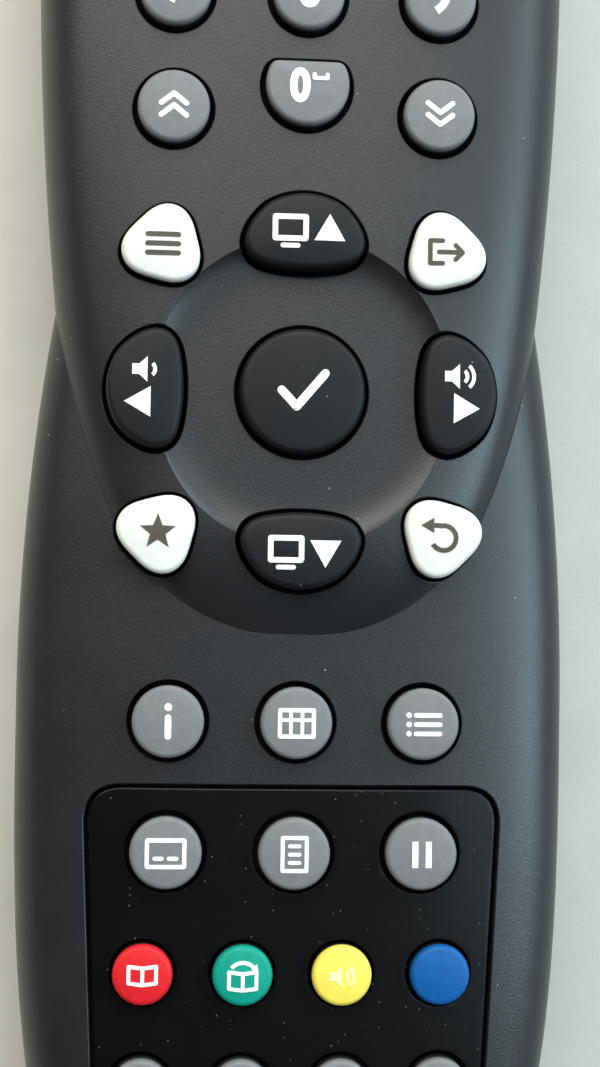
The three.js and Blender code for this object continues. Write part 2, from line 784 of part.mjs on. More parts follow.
function bottomShell() {
  const blockX = bayHalfWidth + wall;
  const slabX = doorHalfWidth + doorRail + slabMargin;
  const slabZ = wall + seatGap + slabThickness;
  const slab = box(-slabX, slabX, heelY, doorTopY + slabMargin, wall / 2, slabZ);
  const bayBlock = box(-blockX, blockX, bayBottomY - wall, bayTopY + wall, wall, roofZ);
  const bay = box(-bayHalfWidth, bayHalfWidth, bayBottomY, bayTopY, 0, bayTopZ);
  const ribX = cellRibThickness / 2;
  const ribEnd = plateThickness + 2 * seatGap;
  const rib = box(-ribX, ribX, bayBottomY + ribEnd, bayTopY - ribEnd, bayTopZ - cellRibDrop, roofZ);
  const bossRadius = screwHeadRadius + seatGap + screwBossWall;
  const boss = screwHole(bossRadius, wall, bossZ);
  const posts = postPlaces.flatMap((y) => [-postX, postX].map((x) => {
    return solidOf(post(x, y, wall / 2, boardZ - seatGap, postRadius));
  }));
  return shell
    .subtract(above(seamLow))
    .add(lip())
    .add(hooks(0))
    .add(solidOf(slab).intersect(body))
    .add(solidOf(bayBlock))
    .add(boss)
    .add(join(posts))
    .subtract(solidOf(bay))
    .add(solidOf(rib))
    .subtract(doorBlank(seatGap))
    .subtract(screwHole(screwHeadRadius + seatGap, 0, screwSeatZ))
    .subtract(screwHole(screwShankRadius + seatGap, 0, bossZ + overrun))
    .subtract(windowBlock(seatGap));
}

function batteryDoor() {
  return doorBlank(0).intersect(body).subtract(join(grooves()));
}

// Inner pieces

function boardGeometry() {
  return prism(planOutline(wall + boardClearance, boardBottomY, boardTopY), boardZ, boardTopZ);
}

function matGeometry() {
  const sheet = solidOf(prism(planOutline(wall + matInset, matBottomY, matTopY), matZ, matTopZ));
  const holes = keys.map((key) => {
    const radius = (key.pill + seatGap) / Math.cos(Math.PI / postSides);
    return solidOf(post(key.x, key.y, matZ - overrun, matTopZ + overrun, radius));
  });
  return geometryOf(sheet.subtract(join(holes)));
}

// A turned profile of [radius, length] pairs, stood along Y.
function turnedAlongY(profile, sides) {
  const points = profile.map(([radius, length]) => new THREE.Vector2(radius, length));
  return new THREE.LatheGeometry(points, sides);
}

function cellGeometry() {
  const nub = cellNubDiameter / 2;
  const shoulder = cellLength - cellNubLength;
  const rim = cellNubLength / 2;
  return turnedAlongY(
    [[0, 0], [cellRadius - rim, 0], [cellRadius, rim], [cellRadius, shoulder - rim],
      [cellRadius - rim, shoulder], [nub, shoulder], [nub, cellLength], [0, cellLength]],
    barrelSides,
  );
}

// A conical coil along Y: straight wire ends, turns from the foot to the tip between them.
function springGeometry() {
  const rise = springLength - 2 * springWire;
  const steps = springTurns * wireSteps;
  const path = [];
  for (let i = 0; i <= steps; i++) {
    const share = i / steps;
    const angle = 2 * Math.PI * springTurns * share;
    const radius = THREE.MathUtils.lerp(springFootRadius, springTipRadius, share);
    path.push(new THREE.Vector3(
      radius * Math.cos(angle),
      springWire + rise * share,
      radius * Math.sin(angle),
    ));
  }
  reportLeastGap(path);
  const first = path[0].clone().setY(0);
  const last = path[path.length - 1].clone().setY(springLength);
  return wireAlong([first, ...path, last]);
}

// Rings of the wire stay square to the path, so the tube never folds on itself.
function wireAlong(path) {
  const axis = new THREE.Vector3(0, 1, 0);
  const rings = path.map((point, i) => {
    const before = path[Math.max(i - 1, 0)];
    const after = path[Math.min(i + 1, path.length - 1)];
    const along = after.clone().sub(before).normalize();
    const out = new THREE.Vector3(point.x, 0, point.z).normalize();
    const side = new THREE.Vector3().crossVectors(along, out).normalize();
    const square = new THREE.Vector3().crossVectors(side, along).normalize();
    const end = i === 0 || i === path.length - 1;
    return Array.from({ length: wireSides }, (_, j) => {
      const angle = (2 * Math.PI * j) / wireSides;
      const around = square.clone().multiplyScalar(Math.cos(angle)).addScaledVector(side, Math.sin(angle));
      if (end) around.addScaledVector(axis, -around.y);
      return point.clone().addScaledVector(around, springWire / 2);
    });
  });
  return loft(rings);
}

// Least distance between wires of neighbouring turns, measured on the path's points.
function reportLeastGap(path) {
  let least = Infinity;
  path.forEach((a, i) => {
    path.slice(i + wireSteps / 2).forEach((b) => {
      least = Math.min(least, a.distanceTo(b) - springWire);
    });
  });
  console.log("contact spring: least gap between turns " + least.toFixed(2) + " mm");
}

function plateGeometry(x0, x1, y) {
  const z0 = cellZ - plateHeight / 2;
  return box(x0, x1, y, y + plateThickness, z0, z0 + plateHeight);
}

function emitterGeometry() {
  const straight = emitterLength - emitterRadius;
  const domeSteps = 4;
  const profile = [[0, 0], [emitterFlangeRadius, 0], [emitterFlangeRadius, emitterFlangeLength],
    [emitterRadius, emitterFlangeLength]];
  for (let i = 0; i <= domeSteps; i++) {
    const angle = (Math.PI * i) / (2 * domeSteps);
    profile.push([emitterRadius * Math.cos(angle), straight + emitterRadius * Math.sin(angle)]);
  }
  profile[profile.length - 1][0] = 0;
  const barrel = solidOf(turnedAlongY(profile, barrelSides));
  const half = emitterLegWidth / 2;
  const legs = [-emitterLegSpacing / 2, emitterLegSpacing / 2].map((x) => {
    const back = box(x - half, x + half, -emitterLegDrop - half, half, -half, half);
    const rise = box(x - half, x + half, -emitterLegDrop - half, half - emitterLegDrop, -half,
      boardZ - seatGap - emitterZ);
    return solidOf(back).add(solidOf(rise));
  });
  return geometryOf(barrel.add(join(legs)));
}

// A chip upside down under the board: a body with slanted sides and two rows of pins.
function chipGeometry() {
  const outline = [
    [-chipWidth / 2, chipHeight / 2], [chipChamfer - chipWidth / 2, 0],
    [chipWidth / 2 - chipChamfer, 0], [chipWidth / 2, chipHeight / 2],
    [chipWidth / 2 - chipChamfer, chipHeight], [chipChamfer - chipWidth / 2, chipHeight],
  ].map(([x, z]) => new THREE.Vector2(x, z));
  const bar = prism(outline, 0, chipLength).rotateX(Math.PI / 2).translate(0, chipLength / 2, 0);
  const reach = chipWidth / 2 + chipPinReach;
  const pins = Array.from({ length: chipPins }, (_, i) => {
    const y = (i - (chipPins - 1) / 2) * chipPinPitch;
    const [y0, y1] = [y - chipPinWidth / 2, y + chipPinWidth / 2];
    const middle = (chipHeight - chipPinThickness) / 2;
    return solidOf(box(-reach, reach, y0, y1, middle, middle + chipPinThickness));
  });
  return geometryOf(solidOf(bar).add(join(pins)));
}

function resonatorGeometry() {
  const half = resonatorWidth / 2;
  const shape = new THREE.Shape();
  const straight = resonatorLength / 2 - half;
  shape.absarc(straight, 0, half, -Math.PI / 2, Math.PI / 2);
  shape.absarc(-straight, 0, half, Math.PI / 2, (3 * Math.PI) / 2);
  return prism(shape.getPoints(cornerSteps).slice(0, -1), 0, resonatorHeight);
}

function capacitorGeometry() {
  const crimp = capacitorRadius - capacitorGroove;
  return turnedAlongY(
    [[0, 0], [crimp, 0], [capacitorRadius, capacitorGroove], [capacitorRadius, capacitorBead],
      [crimp, capacitorBead + capacitorGroove], [capacitorRadius, capacitorBead + 2 * capacitorGroove],
      [capacitorRadius, capacitorLength - capacitorGroove], [crimp, capacitorLength], [0, capacitorLength]],
    barrelSides,
  );
}

function transistorGeometry() {
  const flat = transistorRadius * transistorFlatShare;
  const outline = circle(transistorRadius, barrelSides).map((p) => {
    return new THREE.Vector2(p.x, Math.min(p.y, flat));
  });
  return prism(outline, 0, transistorHeight);
}

function screwGeometry() {
  const neck = screwHeadHeight;
  const tip = screwHeadHeight + screwLength - screwShankRadius;
  return turnedAlongY(
    [[0, 0], [screwHeadRadius, 0], [screwHeadRadius, neck], [screwShankRadius, neck],
      [screwShankRadius, tip], [0, tip + screwShankRadius]],
    postSides,
  ).rotateX(Math.PI / 2);
}

// Assembly

const remote = new THREE.Group();
remote.position.y = -(noseY + heelY) / 2;

remote.add(named("top_shell", geometryOf(topShell()), material.housing));
remote.add(named("bottom_shell", geometryOf(bottomShell()), material.housing));
remote.add(named("key_panel", geometryOf(keyPanel()), material.panel));
remote.add(named("battery_door", geometryOf(batteryDoor()), material.housing));
remote.add(named("infrared_window", geometryOf(body.intersect(windowBlock(0))), material.window));
remote.add(named("circuit_board", boardGeometry(), material.board));
remote.add(named("keypad_mat", matGeometry(), material.rubber));

for (const key of keys) {
  const mesh = named(key.name, keyGeometry(key), key.look);
  mesh.position.set(key.x, key.y, 0);
  remote.add(mesh);
}

// The left cell points its nub to the head, the right one to the heel.
const upperPlateY = bayTopY - seatGap - plateThickness;
const lowerPlateY = bayBottomY + seatGap;
const springs = bayLength - cellLength - 2 * plateThickness - 4 * seatGap;

function placed(mesh, x, y, z, turned = false) {
  mesh.position.set(x, y, z);
  mesh.rotation.z = turned ? Math.PI : 0;
  remote.add(mesh);
}

const nearCellY = upperPlateY - seatGap - cellLength;
const farCellY = lowerPlateY + plateThickness + seatGap + cellLength;
placed(named("battery_1", cellGeometry(), material.cell), -cellX, nearCellY, cellZ);
placed(named("battery_2", cellGeometry(), material.cell), cellX, farCellY, cellZ, true);
const nearSpringY = nearCellY - seatGap - springs;
const farSpringY = farCellY + seatGap + springs;
placed(named("contact_spring_1", springGeometry(), material.metal), -cellX, nearSpringY, cellZ);
placed(named("contact_spring_2", springGeometry(), material.metal), cellX, farSpringY, cellZ, true);

const half = plateWidth / 2;
const positivePlate = plateGeometry(-cellX - half, half - cellX, upperPlateY);
const negativePlate = plateGeometry(cellX - half, cellX + half, upperPlateY);
const bridgePlate = plateGeometry(-cellX - half, cellX + half, lowerPlateY);
remote.add(named("positive_contact", positivePlate, material.metal));
remote.add(named("negative_contact", negativePlate, material.metal));
remote.add(named("bridge_contact", bridgePlate, material.metal));
placed(named("housing_screw", screwGeometry(), material.metal), 0, screwY, wall + seatGap);

const emitterY = noseY - windowThickness - seatGap - emitterLength;
placed(named("infrared_led", emitterGeometry(), material.clear), 0, emitterY, emitterZ);
const underBoard = boardZ - seatGap;
placed(named("controller_chip", chipGeometry(), material.resin), 0, chipY, underBoard - chipHeight);
const resonator = named("ceramic_resonator", resonatorGeometry(), material.ceramic);
placed(resonator, resonatorX, resonatorY, underBoard - resonatorHeight);
const capacitor = named("capacitor", capacitorGeometry(), material.resin);
placed(capacitor, capacitorX, capacitorY, underBoard - capacitorRadius);
const transistor = named("transistor", transistorGeometry(), material.resin);
placed(transistor, transistorX, transistorY, underBoard - transistorHeight);

export default remote;
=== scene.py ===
from collections import namedtuple
from math import atan2, ceil, cos, hypot, pi, radians, sin

import bmesh
import bpy
from mathutils import Matrix, Vector
from mathutils.bvhtree import BVHTree
from mathutils.interpolate import poly_3d_calc


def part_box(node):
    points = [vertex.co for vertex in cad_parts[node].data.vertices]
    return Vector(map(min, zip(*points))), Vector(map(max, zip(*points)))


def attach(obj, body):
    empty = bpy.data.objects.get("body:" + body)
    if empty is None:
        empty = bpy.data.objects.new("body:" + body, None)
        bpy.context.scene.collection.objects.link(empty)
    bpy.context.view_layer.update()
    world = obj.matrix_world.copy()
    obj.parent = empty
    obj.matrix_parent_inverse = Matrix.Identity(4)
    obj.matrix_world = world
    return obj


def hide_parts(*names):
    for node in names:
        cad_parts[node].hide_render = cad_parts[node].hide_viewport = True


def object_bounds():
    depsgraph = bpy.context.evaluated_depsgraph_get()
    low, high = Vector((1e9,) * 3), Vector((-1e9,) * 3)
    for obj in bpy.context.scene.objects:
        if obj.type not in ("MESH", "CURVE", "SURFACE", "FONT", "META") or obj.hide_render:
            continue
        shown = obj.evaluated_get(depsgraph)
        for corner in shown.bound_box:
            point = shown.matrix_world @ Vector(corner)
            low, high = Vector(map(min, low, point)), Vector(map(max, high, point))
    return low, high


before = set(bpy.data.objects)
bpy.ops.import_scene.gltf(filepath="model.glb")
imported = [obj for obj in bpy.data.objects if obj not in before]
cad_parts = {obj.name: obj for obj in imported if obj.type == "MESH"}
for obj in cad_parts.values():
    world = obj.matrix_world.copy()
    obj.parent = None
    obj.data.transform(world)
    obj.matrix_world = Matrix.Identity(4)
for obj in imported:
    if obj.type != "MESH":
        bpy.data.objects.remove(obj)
cad_low, cad_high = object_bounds()

MM = 0.001

# Places taken from the frame


def middle_of(node):
    low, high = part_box(node)
    return (low + high) / 2


def reach_of(node):
    low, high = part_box(node)
    return (high - low) / 2


OK_Y = middle_of("ok_key").y


def shifted_box(node):
    """The node's box, with y counted from the OK key."""
    low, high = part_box(node)
    low.y -= OK_Y
    high.y -= OK_Y
    return low, high


SCREW_Y = middle_of("housing_screw").y - OK_Y

# Clearances
SEAT = 0.3 * MM
SKIN = 0.03 * MM  # the dressed housing lies this far inside the true form
OVERRUN = 2 * MM
WELD = 0.0001 * MM
GUIDE_REACH = 0.02 * MM  # how near and how level a face lies to the smooth surface that shades it
GUIDE_FACING = cos(radians(14))

# Housing seen from above
NOSE_Y = cad_high.y - OK_Y
HEEL_Y = cad_low.y - OK_Y
HEAD_HALF_WIDTH = 25.3 * MM
HEAD_WIDEST_Y = 47.15 * MM
HEAD_SIDE_RADIUS = 357 * MM
HANDLE_HALF_WIDTH = 26.15 * MM
HANDLE_WIDEST_Y = -27.9 * MM
HANDLE_SIDE_RADIUS = 217 * MM
WAIST_Y = 8.15 * MM
TONGUE_REACH = 23.5 * MM
HANDLE_HIDDEN_END = 25.5 * MM
TONGUE_TAPER = 0.17

# Housing seen from the side
WALL = 1.5 * MM
LIP_WALL = 0.8 * MM
LIP_HEIGHT = 1.7 * MM
PARTING = 11.9 * MM
HANDLE_CROWN = 20.2 * MM
HEAD_CROWN = 22.4 * MM
TONGUE_FALL = 2.7 * MM
TONGUE_FALL_Y = -11.5 * MM
SOLE_SINK = 1.2 * MM
SEAM_LOW = PARTING - SEAT / 2
SEAM_HIGH = PARTING + SEAT / 2
CREASE = 0.45 * MM  # softness of the crease between head and handle on the inner side

# Squareness of the outlines: 2 is an ellipse, higher values are squarer
NOSE_PLAN = 4
TONGUE_PLAN = 2.9
HEEL_PLAN = 3
END_SIDE = 5
HEEL_SOLE = 6
HEAD_SECTION = 4
HANDLE_SECTION = 3.5
UNDERSIDE_SECTION = 3

# Dish round the middle keys: a nearly flat floor and a narrow wall
DISH_RADIUS = 14.4 * MM
DISH_DEPTH = 0.9 * MM
DISH_SQUARENESS = 13
DISH_RIM = 0.25 * MM  # softness of the rim on the inner side
DISH_OVERLAP = 1.04
DISH_RINGS = 44
DISH_SIDES = 180

# Keys
HOLE_MARGIN = 0.3 * MM
GREY_HOLE_MARGIN = 0.46 * MM
DARK_HOLE_MARGIN = 0.4 * MM
HOLE_EDGE = 0.15 * MM  # roundness of a key hole's edge
PLATE_HOLE_EDGE = 0.1 * MM
SKIRT_MARGIN = 1 * MM
SKIRT_HEIGHT = 0.6 * MM
PILL_RADIUS = 1.9 * MM
OK_PILL_RADIUS = 3.2 * MM
KEY_CROWN = 0.2 * MM
ROUND_KEY = reach_of("power_key").x - SKIRT_MARGIN
COLOUR_KEY = reach_of("red_key").x - SKIRT_MARGIN
OK_KEY = reach_of("ok_key").x - SKIRT_MARGIN
ZERO_KEY = reach_of("digit_0_key").x - SKIRT_MARGIN
ZERO_FLAT = 2.1 * MM
ZERO_SOFTNESS = 0.65 * MM
ARCH_LENGTH = 2 * (reach_of("channel_up_key").x - SKIRT_MARGIN)
ARCH_WIDTH = 2 * (reach_of("channel_up_key").y - SKIRT_MARGIN)
CORNER_KEY = 3.5 * MM
CORNER_POINT = 0.1
KEY_SIDES = 72
PRINT_RISE = 0.02 * MM
PRINT_DEPTH = 0.05 * MM
EDGE_STEPS = 6
CROWN_SHARES = (0.9, 0.75, 0.55, 0.3, 0)  # rings of a key's crown, as shares of its edge

# Inset plate
panel_low, panel_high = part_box("key_panel")
PANEL_TOP_Y = panel_high.y - OK_Y
PANEL_BOTTOM_Y = panel_low.y - OK_Y
PANEL_TOP_HALF = panel_high.x
PANEL_TAPER = 1.2 * MM
PANEL_TOP_RADIUS = 3.3 * MM
PANEL_BOTTOM_RADIUS = 6 * MM
PANEL_SUNK = 0.35 * MM
PANEL_GAP = 0.1 * MM
PANEL_THICKNESS = 1.15 * MM
PANEL_EDGE = 0.22 * MM

# Battery door, its channel and the bay
door_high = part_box("battery_door")[1]
DOOR_RAIL = 1 * MM
DOOR_RAIL_THICKNESS = 0.8 * MM
DOOR_HALF = door_high.x - DOOR_RAIL
DOOR_TOP_Y = door_high.y - OK_Y
GRIP_TOP_Y = -34.5 * MM
GRIP_PITCH = 1.8 * MM
GRIP_WIDTH = 0.8 * MM
GRIP_DEPTH = 0.5 * MM
GRIP_HALF_LENGTH = 6 * MM
GRIP_FLARE = 0.12 * MM
GRIP_TAPER = 0.15 * MM
GRIP_COUNT = 5

# Screw, its boss, the door's channel and the rib between the cells
SCREW_HEAD = 1.4 * MM
SCREW_SHANK = 1.1 * MM
SCREW_HOLE = 1.4 * MM
BOSS_WALL = 1.3 * MM
BOSS_FLOOR = 1.6 * MM
CHANNEL_WALL = 2.5 * MM
CHANNEL_ROOF = 1.5 * MM
RIB_HALF = 0.6 * MM
RIB_HEIGHT = 2.6 * MM
RIB_GAP = 1.1 * MM

# Small forms


def rounded(share, power):
    return (1 - min(abs(share), 1) ** power) ** (1 / power)


def section_reach(across, up, width, height, power):
    """How far a squarish section reaches in the direction (across, up)."""
    return ((abs(across) / width) ** power + (abs(up) / height) ** power) ** (-1 / power)


def soft_max(a, b, blend):
    near = max(blend - abs(a - b), 0) / blend
    return max(a, b) + near * near * blend / 4


def soft_min(a, b, blend):
    return -soft_max(-a, -b, blend)


def evenly(start, end, step):
    count = ceil(abs(end - start) / step)
    return [start + (end - start) * (i + 1) / count for i in range(count)]


Form = namedtuple("Form", "width rise drop power")


def head_form(y, inset):
    """Half width, rise above and drop below the parting plane, and squareness of the head at y."""
    rise = HEAD_CROWN - PARTING - inset
    drop = PARTING + SOLE_SINK - inset
    if y >= HEAD_WIDEST_Y:
        share = (y - HEAD_WIDEST_Y) / (NOSE_Y - inset - HEAD_WIDEST_Y)
        side = rounded(share, END_SIDE)
        width = (HEAD_HALF_WIDTH - inset) * rounded(share, NOSE_PLAN)
        return Form(width, rise * side, drop * side, HEAD_SECTION)
    if y >= WAIST_Y:
        bow = (HEAD_WIDEST_Y - y) ** 2 / (2 * HEAD_SIDE_RADIUS)
        return Form(HEAD_HALF_WIDTH - inset - bow, rise, drop, HEAD_SECTION)
    share = (WAIST_Y - y) / (WAIST_Y + TONGUE_REACH - inset)
    waist = HEAD_HALF_WIDTH - inset - (HEAD_WIDEST_Y - WAIST_Y) ** 2 / (2 * HEAD_SIDE_RADIUS)
    width = waist * (1 - TONGUE_TAPER * share) * rounded(share, TONGUE_PLAN)
    slope = max(TONGUE_FALL_Y - y, 0) / (TONGUE_FALL_Y + TONGUE_REACH - inset)
    return Form(width, rise - TONGUE_FALL * slope**2, drop, HEAD_SECTION)


def handle_form(y, inset):
    """The same of the handle."""
    rise = HANDLE_CROWN - PARTING - inset
    drop = PARTING + SOLE_SINK - inset
    if y <= HANDLE_WIDEST_Y:
        share = (HANDLE_WIDEST_Y - y) / (HANDLE_WIDEST_Y - HEEL_Y - inset)
        width = (HANDLE_HALF_WIDTH - inset) * rounded(share, HEEL_PLAN)
        return Form(width, rise * rounded(share, END_SIDE), drop * rounded(share, HEEL_SOLE), HANDLE_SECTION)
    bow = (y - HANDLE_WIDEST_Y) ** 2 / (2 * HANDLE_SIDE_RADIUS)
    return Form(HANDLE_HALF_WIDTH - inset - bow, rise, drop, HANDLE_SECTION)


def forms_at(y, inset):
    forms = []
    if y > inset - TONGUE_REACH:
        forms.append(head_form(y, inset))
    if y < HANDLE_HIDDEN_END:
        forms.append(handle_form(y, inset))
    return [form for form in forms if min(form.width, form.rise, form.drop) > WELD]


def dish_height(x, y, inset):
    share = hypot(x, y) / DISH_RADIUS
    return HEAD_CROWN - inset - DISH_DEPTH * (1 - share**DISH_SQUARENESS)


def surface_at(x, y, inset=SKIN):
    """Height of the housing's upper face, or of a face that lies inset below it."""
    heights = [PARTING]
    for form in forms_at(y, inset):
        if abs(x) < form.width:
            heights.append(PARTING + form.rise * rounded(x / form.width, form.power))
    return min(max(heights), dish_height(x, y, inset))


def skin_point(y, angle, inset):
    """Point of the housing's skin at y, in the direction of an angle counted from +Z towards +X."""
    across, up = sin(angle), cos(angle)
    reach = 0
    for form in forms_at(y, inset):
        height, power = (form.rise, form.power) if up > 0 else (form.drop, UNDERSIDE_SECTION)
        far = section_reach(across, up, form.width, height, power)
        reach = soft_max(reach, far, CREASE) if reach else far
    point = Vector((reach * across, y, PARTING + reach * up))
    if up > 0:
        point.z = soft_min(point.z, dish_height(point.x, y, inset), DISH_RIM)
    point.z = max(point.z, inset)
    return point


# Meshes


def skin(bm, rings):
    """Adds a closed skin over rings of equally many points to the bmesh."""
    count = len(rings[0])
    grid = bmesh.ops.create_grid(bm, x_segments=count, y_segments=len(rings) - 1, size=1)["verts"]
    points = [ring[i % count] for ring in rings for i in range(count + 1)]
    for vert, point in zip(grid, points):
        vert.co = point
    bmesh.ops.remove_doubles(bm, verts=grid, dist=WELD)
    rims = [edge for edge in bm.edges if edge.is_boundary]
    if rims:
        bmesh.ops.holes_fill(bm, edges=rims, sides=0)
    bmesh.ops.recalc_face_normals(bm, faces=bm.faces)


def raised(outline, height):
    """The outline's points at a height, which may be a function of x and y."""
    if callable(height):
        return [Vector((p.x, p.y, height(p.x, p.y))) for p in outline]
    return [Vector((p.x, p.y, height)) for p in outline]


def block(x0, x1, y0, y1, z0, z1):
    corners = [Vector((x0, y0)), Vector((x1, y0)), Vector((x1, y1)), Vector((x0, y1))]
    return skinned("block", [raised(corners, z0), raised(corners, z1)])


def turned(name, profile, axis_point, axis, segments=48):
    """A solid of revolution. The profile's points are (radius, distance along the axis)."""
    bm = bmesh.new()
    side = axis.orthogonal().normalized()
    line = [bm.verts.new(axis_point + side * radius + axis * along) for radius, along in profile]
    edges = [bm.edges.new(pair) for pair in zip(line, line[1:])]
    bmesh.ops.spin(bm, geom=line + edges, cent=axis_point, axis=axis, angle=2 * pi,
                   steps=segments, use_merge=True)
    bmesh.ops.remove_doubles(bm, verts=bm.verts, dist=WELD * 10)
    bmesh.ops.recalc_face_normals(bm, faces=bm.faces)
    return solid(name, bm)


def placed(name, data):
    """A new object of the scene."""
    piece = bpy.data.objects.new(name, data)
    bpy.context.scene.collection.objects.link(piece)
    return piece


def skinned(name, rings):
    """A solid with a closed skin over the rings."""
    bm = bmesh.new()
    skin(bm, rings)
    return solid(name, bm)


def solid(name, bm):
    mesh = bpy.data.meshes.new(name)
    bm.to_mesh(mesh)
    bm.free()
    return placed(name, mesh)


def curve_mesh(curve):
    """The mesh of a curve or a text, which is used up."""
    holder = placed("curve", curve)
    mesh = worked_out(holder)
    bpy.data.objects.remove(holder)
    bpy.data.curves.remove(curve)
    return mesh


def worked_out(holder):
    """The mesh that the holder's modifiers or its curve make."""
    bpy.context.view_layer.update()
    result = holder.evaluated_get(bpy.context.evaluated_depsgraph_get())
    return bpy.data.meshes.new_from_object(result)


def carve(piece, tool, operation="DIFFERENCE"):
    """Cuts the tool from the piece, joins it on or keeps what both share. The tool is used up."""
    cut = piece.modifiers.new("carve", "BOOLEAN")
    cut.operation = operation
    cut.solver = "MANIFOLD"
    cut.object = tool
    mesh = worked_out(piece)
    piece.modifiers.clear()
    before = piece.data
    piece.data = mesh
    bpy.data.meshes.remove(before)
    drop(tool)
    return piece


def drop(piece):
    mesh = piece.data
    bpy.data.objects.remove(piece)
    bpy.data.meshes.remove(mesh)


def follow(piece, smooth_pieces):
    """Shades the piece's faces that lie on a smooth surface exactly as that surface."""
    view = bpy.context.evaluated_depsgraph_get()
    guides = [(BVHTree.FromObject(smooth, view), smooth.data) for smooth in smooth_pieces]
    mesh = piece.data
    normals = [Vector(corner.vector) for corner in mesh.corner_normals]
    for face in mesh.polygons:
        match = GUIDE_FACING
        for tree, guide in guides:
            _, facing, _, away = tree.find_nearest(face.center)
            if away < GUIDE_REACH and facing.dot(face.normal) > match:
                match = facing.dot(face.normal)
                nearest = tree, guide
        if match == GUIDE_FACING:
            continue
        tree, guide = nearest
        for corner in face.loop_indices:
            point = mesh.vertices[mesh.loops[corner].vertex_index].co
            near, _, index, _ = tree.find_nearest(point)
            under = guide.polygons[index].vertices
            shares = poly_3d_calc([guide.vertices[i].co for i in under], near)
            normals[corner] = sum((guide.vertices[i].normal * part for i, part in zip(under, shares)),
                                  Vector())
    mesh.normals_split_custom_set([normal.normalized() for normal in normals])


def finished(piece, name, body, look, slot, replaced=(), crease_angle=30, guides=()):
    """Puts a shaped piece in the frame, smooths it between its edges and hands it to its body."""
    bm = bmesh.new()
    bm.from_mesh(piece.data)
    bmesh.ops.remove_doubles(bm, verts=bm.verts, dist=WELD * 10)
    bmesh.ops.translate(bm, verts=bm.verts, vec=(0, OK_Y, 0))
    for face in bm.faces:
        face.smooth = True
    for edge in bm.edges:
        edge.smooth = len(edge.link_faces) == 2 and edge.calc_face_angle(0) < radians(crease_angle)
    bm.to_mesh(piece.data)
    bm.free()
    if guides:
        follow(piece, guides)
        for guide in guides:
            drop(guide)
    piece.name = piece.data.name = name
    piece.data.materials.clear()
    piece.data.materials.append(look)
    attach(piece, body)
    if replaced:
        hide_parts(*replaced)
    return piece


# Shader node groups


def node_group(name, inputs, outputs):
    """A new group, with the sockets that it draws from and those that it fills."""
    group = bpy.data.node_groups.new(name, "ShaderNodeTree")
    for label, kind, value in inputs:
        socket = group.interface.new_socket(label, in_out="INPUT", socket_type=kind)
        socket.default_value = value
    for label, kind in outputs:
        group.interface.new_socket(label, in_out="OUTPUT", socket_type=kind)
    return group, group.nodes.new("NodeGroupInput").outputs, group.nodes.new("NodeGroupOutput").inputs


def label_of(word):
    """A socket's label, from its name written as one word."""
    return word.replace("_", " ").title().replace("Ior", "IOR")


def add(tree, kind, *wired, **settings):
    """Adds a node. The wired sockets or values go to its first inputs, one after another. Settings are
    its properties, or what goes to the inputs of that name."""
    node = tree.nodes.new(kind)
    sources = []
    for key, source in settings.items():
        if hasattr(node, key):
            setattr(node, key, source)
        else:
            sources.append((label_of(key), source))
    for key, source in [*enumerate(wired), *sources]:
        if isinstance(source, bpy.types.NodeSocket):
            tree.links.new(source, node.inputs[key])
        else:
            node.inputs[key].default_value = source
    return node


def mixed(tree, share, first, second, blend="MIX"):
    """The colour between two others."""
    mix = add(tree, "ShaderNodeMix", data_type="RGBA", blend_type=blend, factor=share)
    for socket, source in ((mix.inputs[6], first), (mix.inputs[7], second)):
        if isinstance(source, bpy.types.NodeSocket):
            tree.links.new(source, socket)
        else:
            socket.default_value = source
    return mix.outputs[2]


def make_grain():
    """Fine moulded grain: a height for the bump and a roughness that varies with it."""
    group, start, end = node_group(
        "moulded grain",
        [("Size", "NodeSocketFloat", 4000), ("Roughness", "NodeSocketFloat", 0.5),
         ("Spread", "NodeSocketFloat", 0.06)],
        [("Height", "NodeSocketFloat"), ("Roughness", "NodeSocketFloat")],
    )
    place = add(group, "ShaderNodeTexCoord").outputs["Object"]
    fine = add(group, "ShaderNodeTexNoise", vector=place, scale=start["Size"], detail=3.0, roughness=0.6)
    wide = add(group, "ShaderNodeTexNoise", vector=place, scale=90.0, detail=4.0)
    centred = add(group, "ShaderNodeMath", wide.outputs["Fac"], 0.5, operation="SUBTRACT")
    spread = add(group, "ShaderNodeMath", centred.outputs[0], start["Spread"], start["Roughness"],
                 operation="MULTIPLY_ADD")
    group.links.new(fine.outputs["Fac"], end["Height"])
    group.links.new(spread.outputs[0], end["Roughness"])
    return group


def make_mottle():
    """A colour that wavers a little between two tones."""
    group, start, end = node_group(
        "mottle",
        [("Tone", "NodeSocketColor", (0.5, 0.5, 0.5, 1)),
         ("Other Tone", "NodeSocketColor", (0.4, 0.4, 0.4, 1)),
         ("Size", "NodeSocketFloat", 300), ("Contrast", "NodeSocketFloat", 1)],
        [("Color", "NodeSocketColor")],
    )
    place = add(group, "ShaderNodeTexCoord").outputs["Object"]
    cloud = add(group, "ShaderNodeTexNoise", vector=place, scale=start["Size"], detail=5.0, roughness=0.65)
    sharp = add(group, "ShaderNodeMapRange", cloud.outputs["Fac"], 0.3, 0.7)
    share = add(group, "ShaderNodeMath", sharp.outputs["Result"], start["Contrast"], operation="MULTIPLY")
    group.links.new(mixed(group, share.outputs[0], start["Tone"], start["Other Tone"]), end["Color"])
    return group


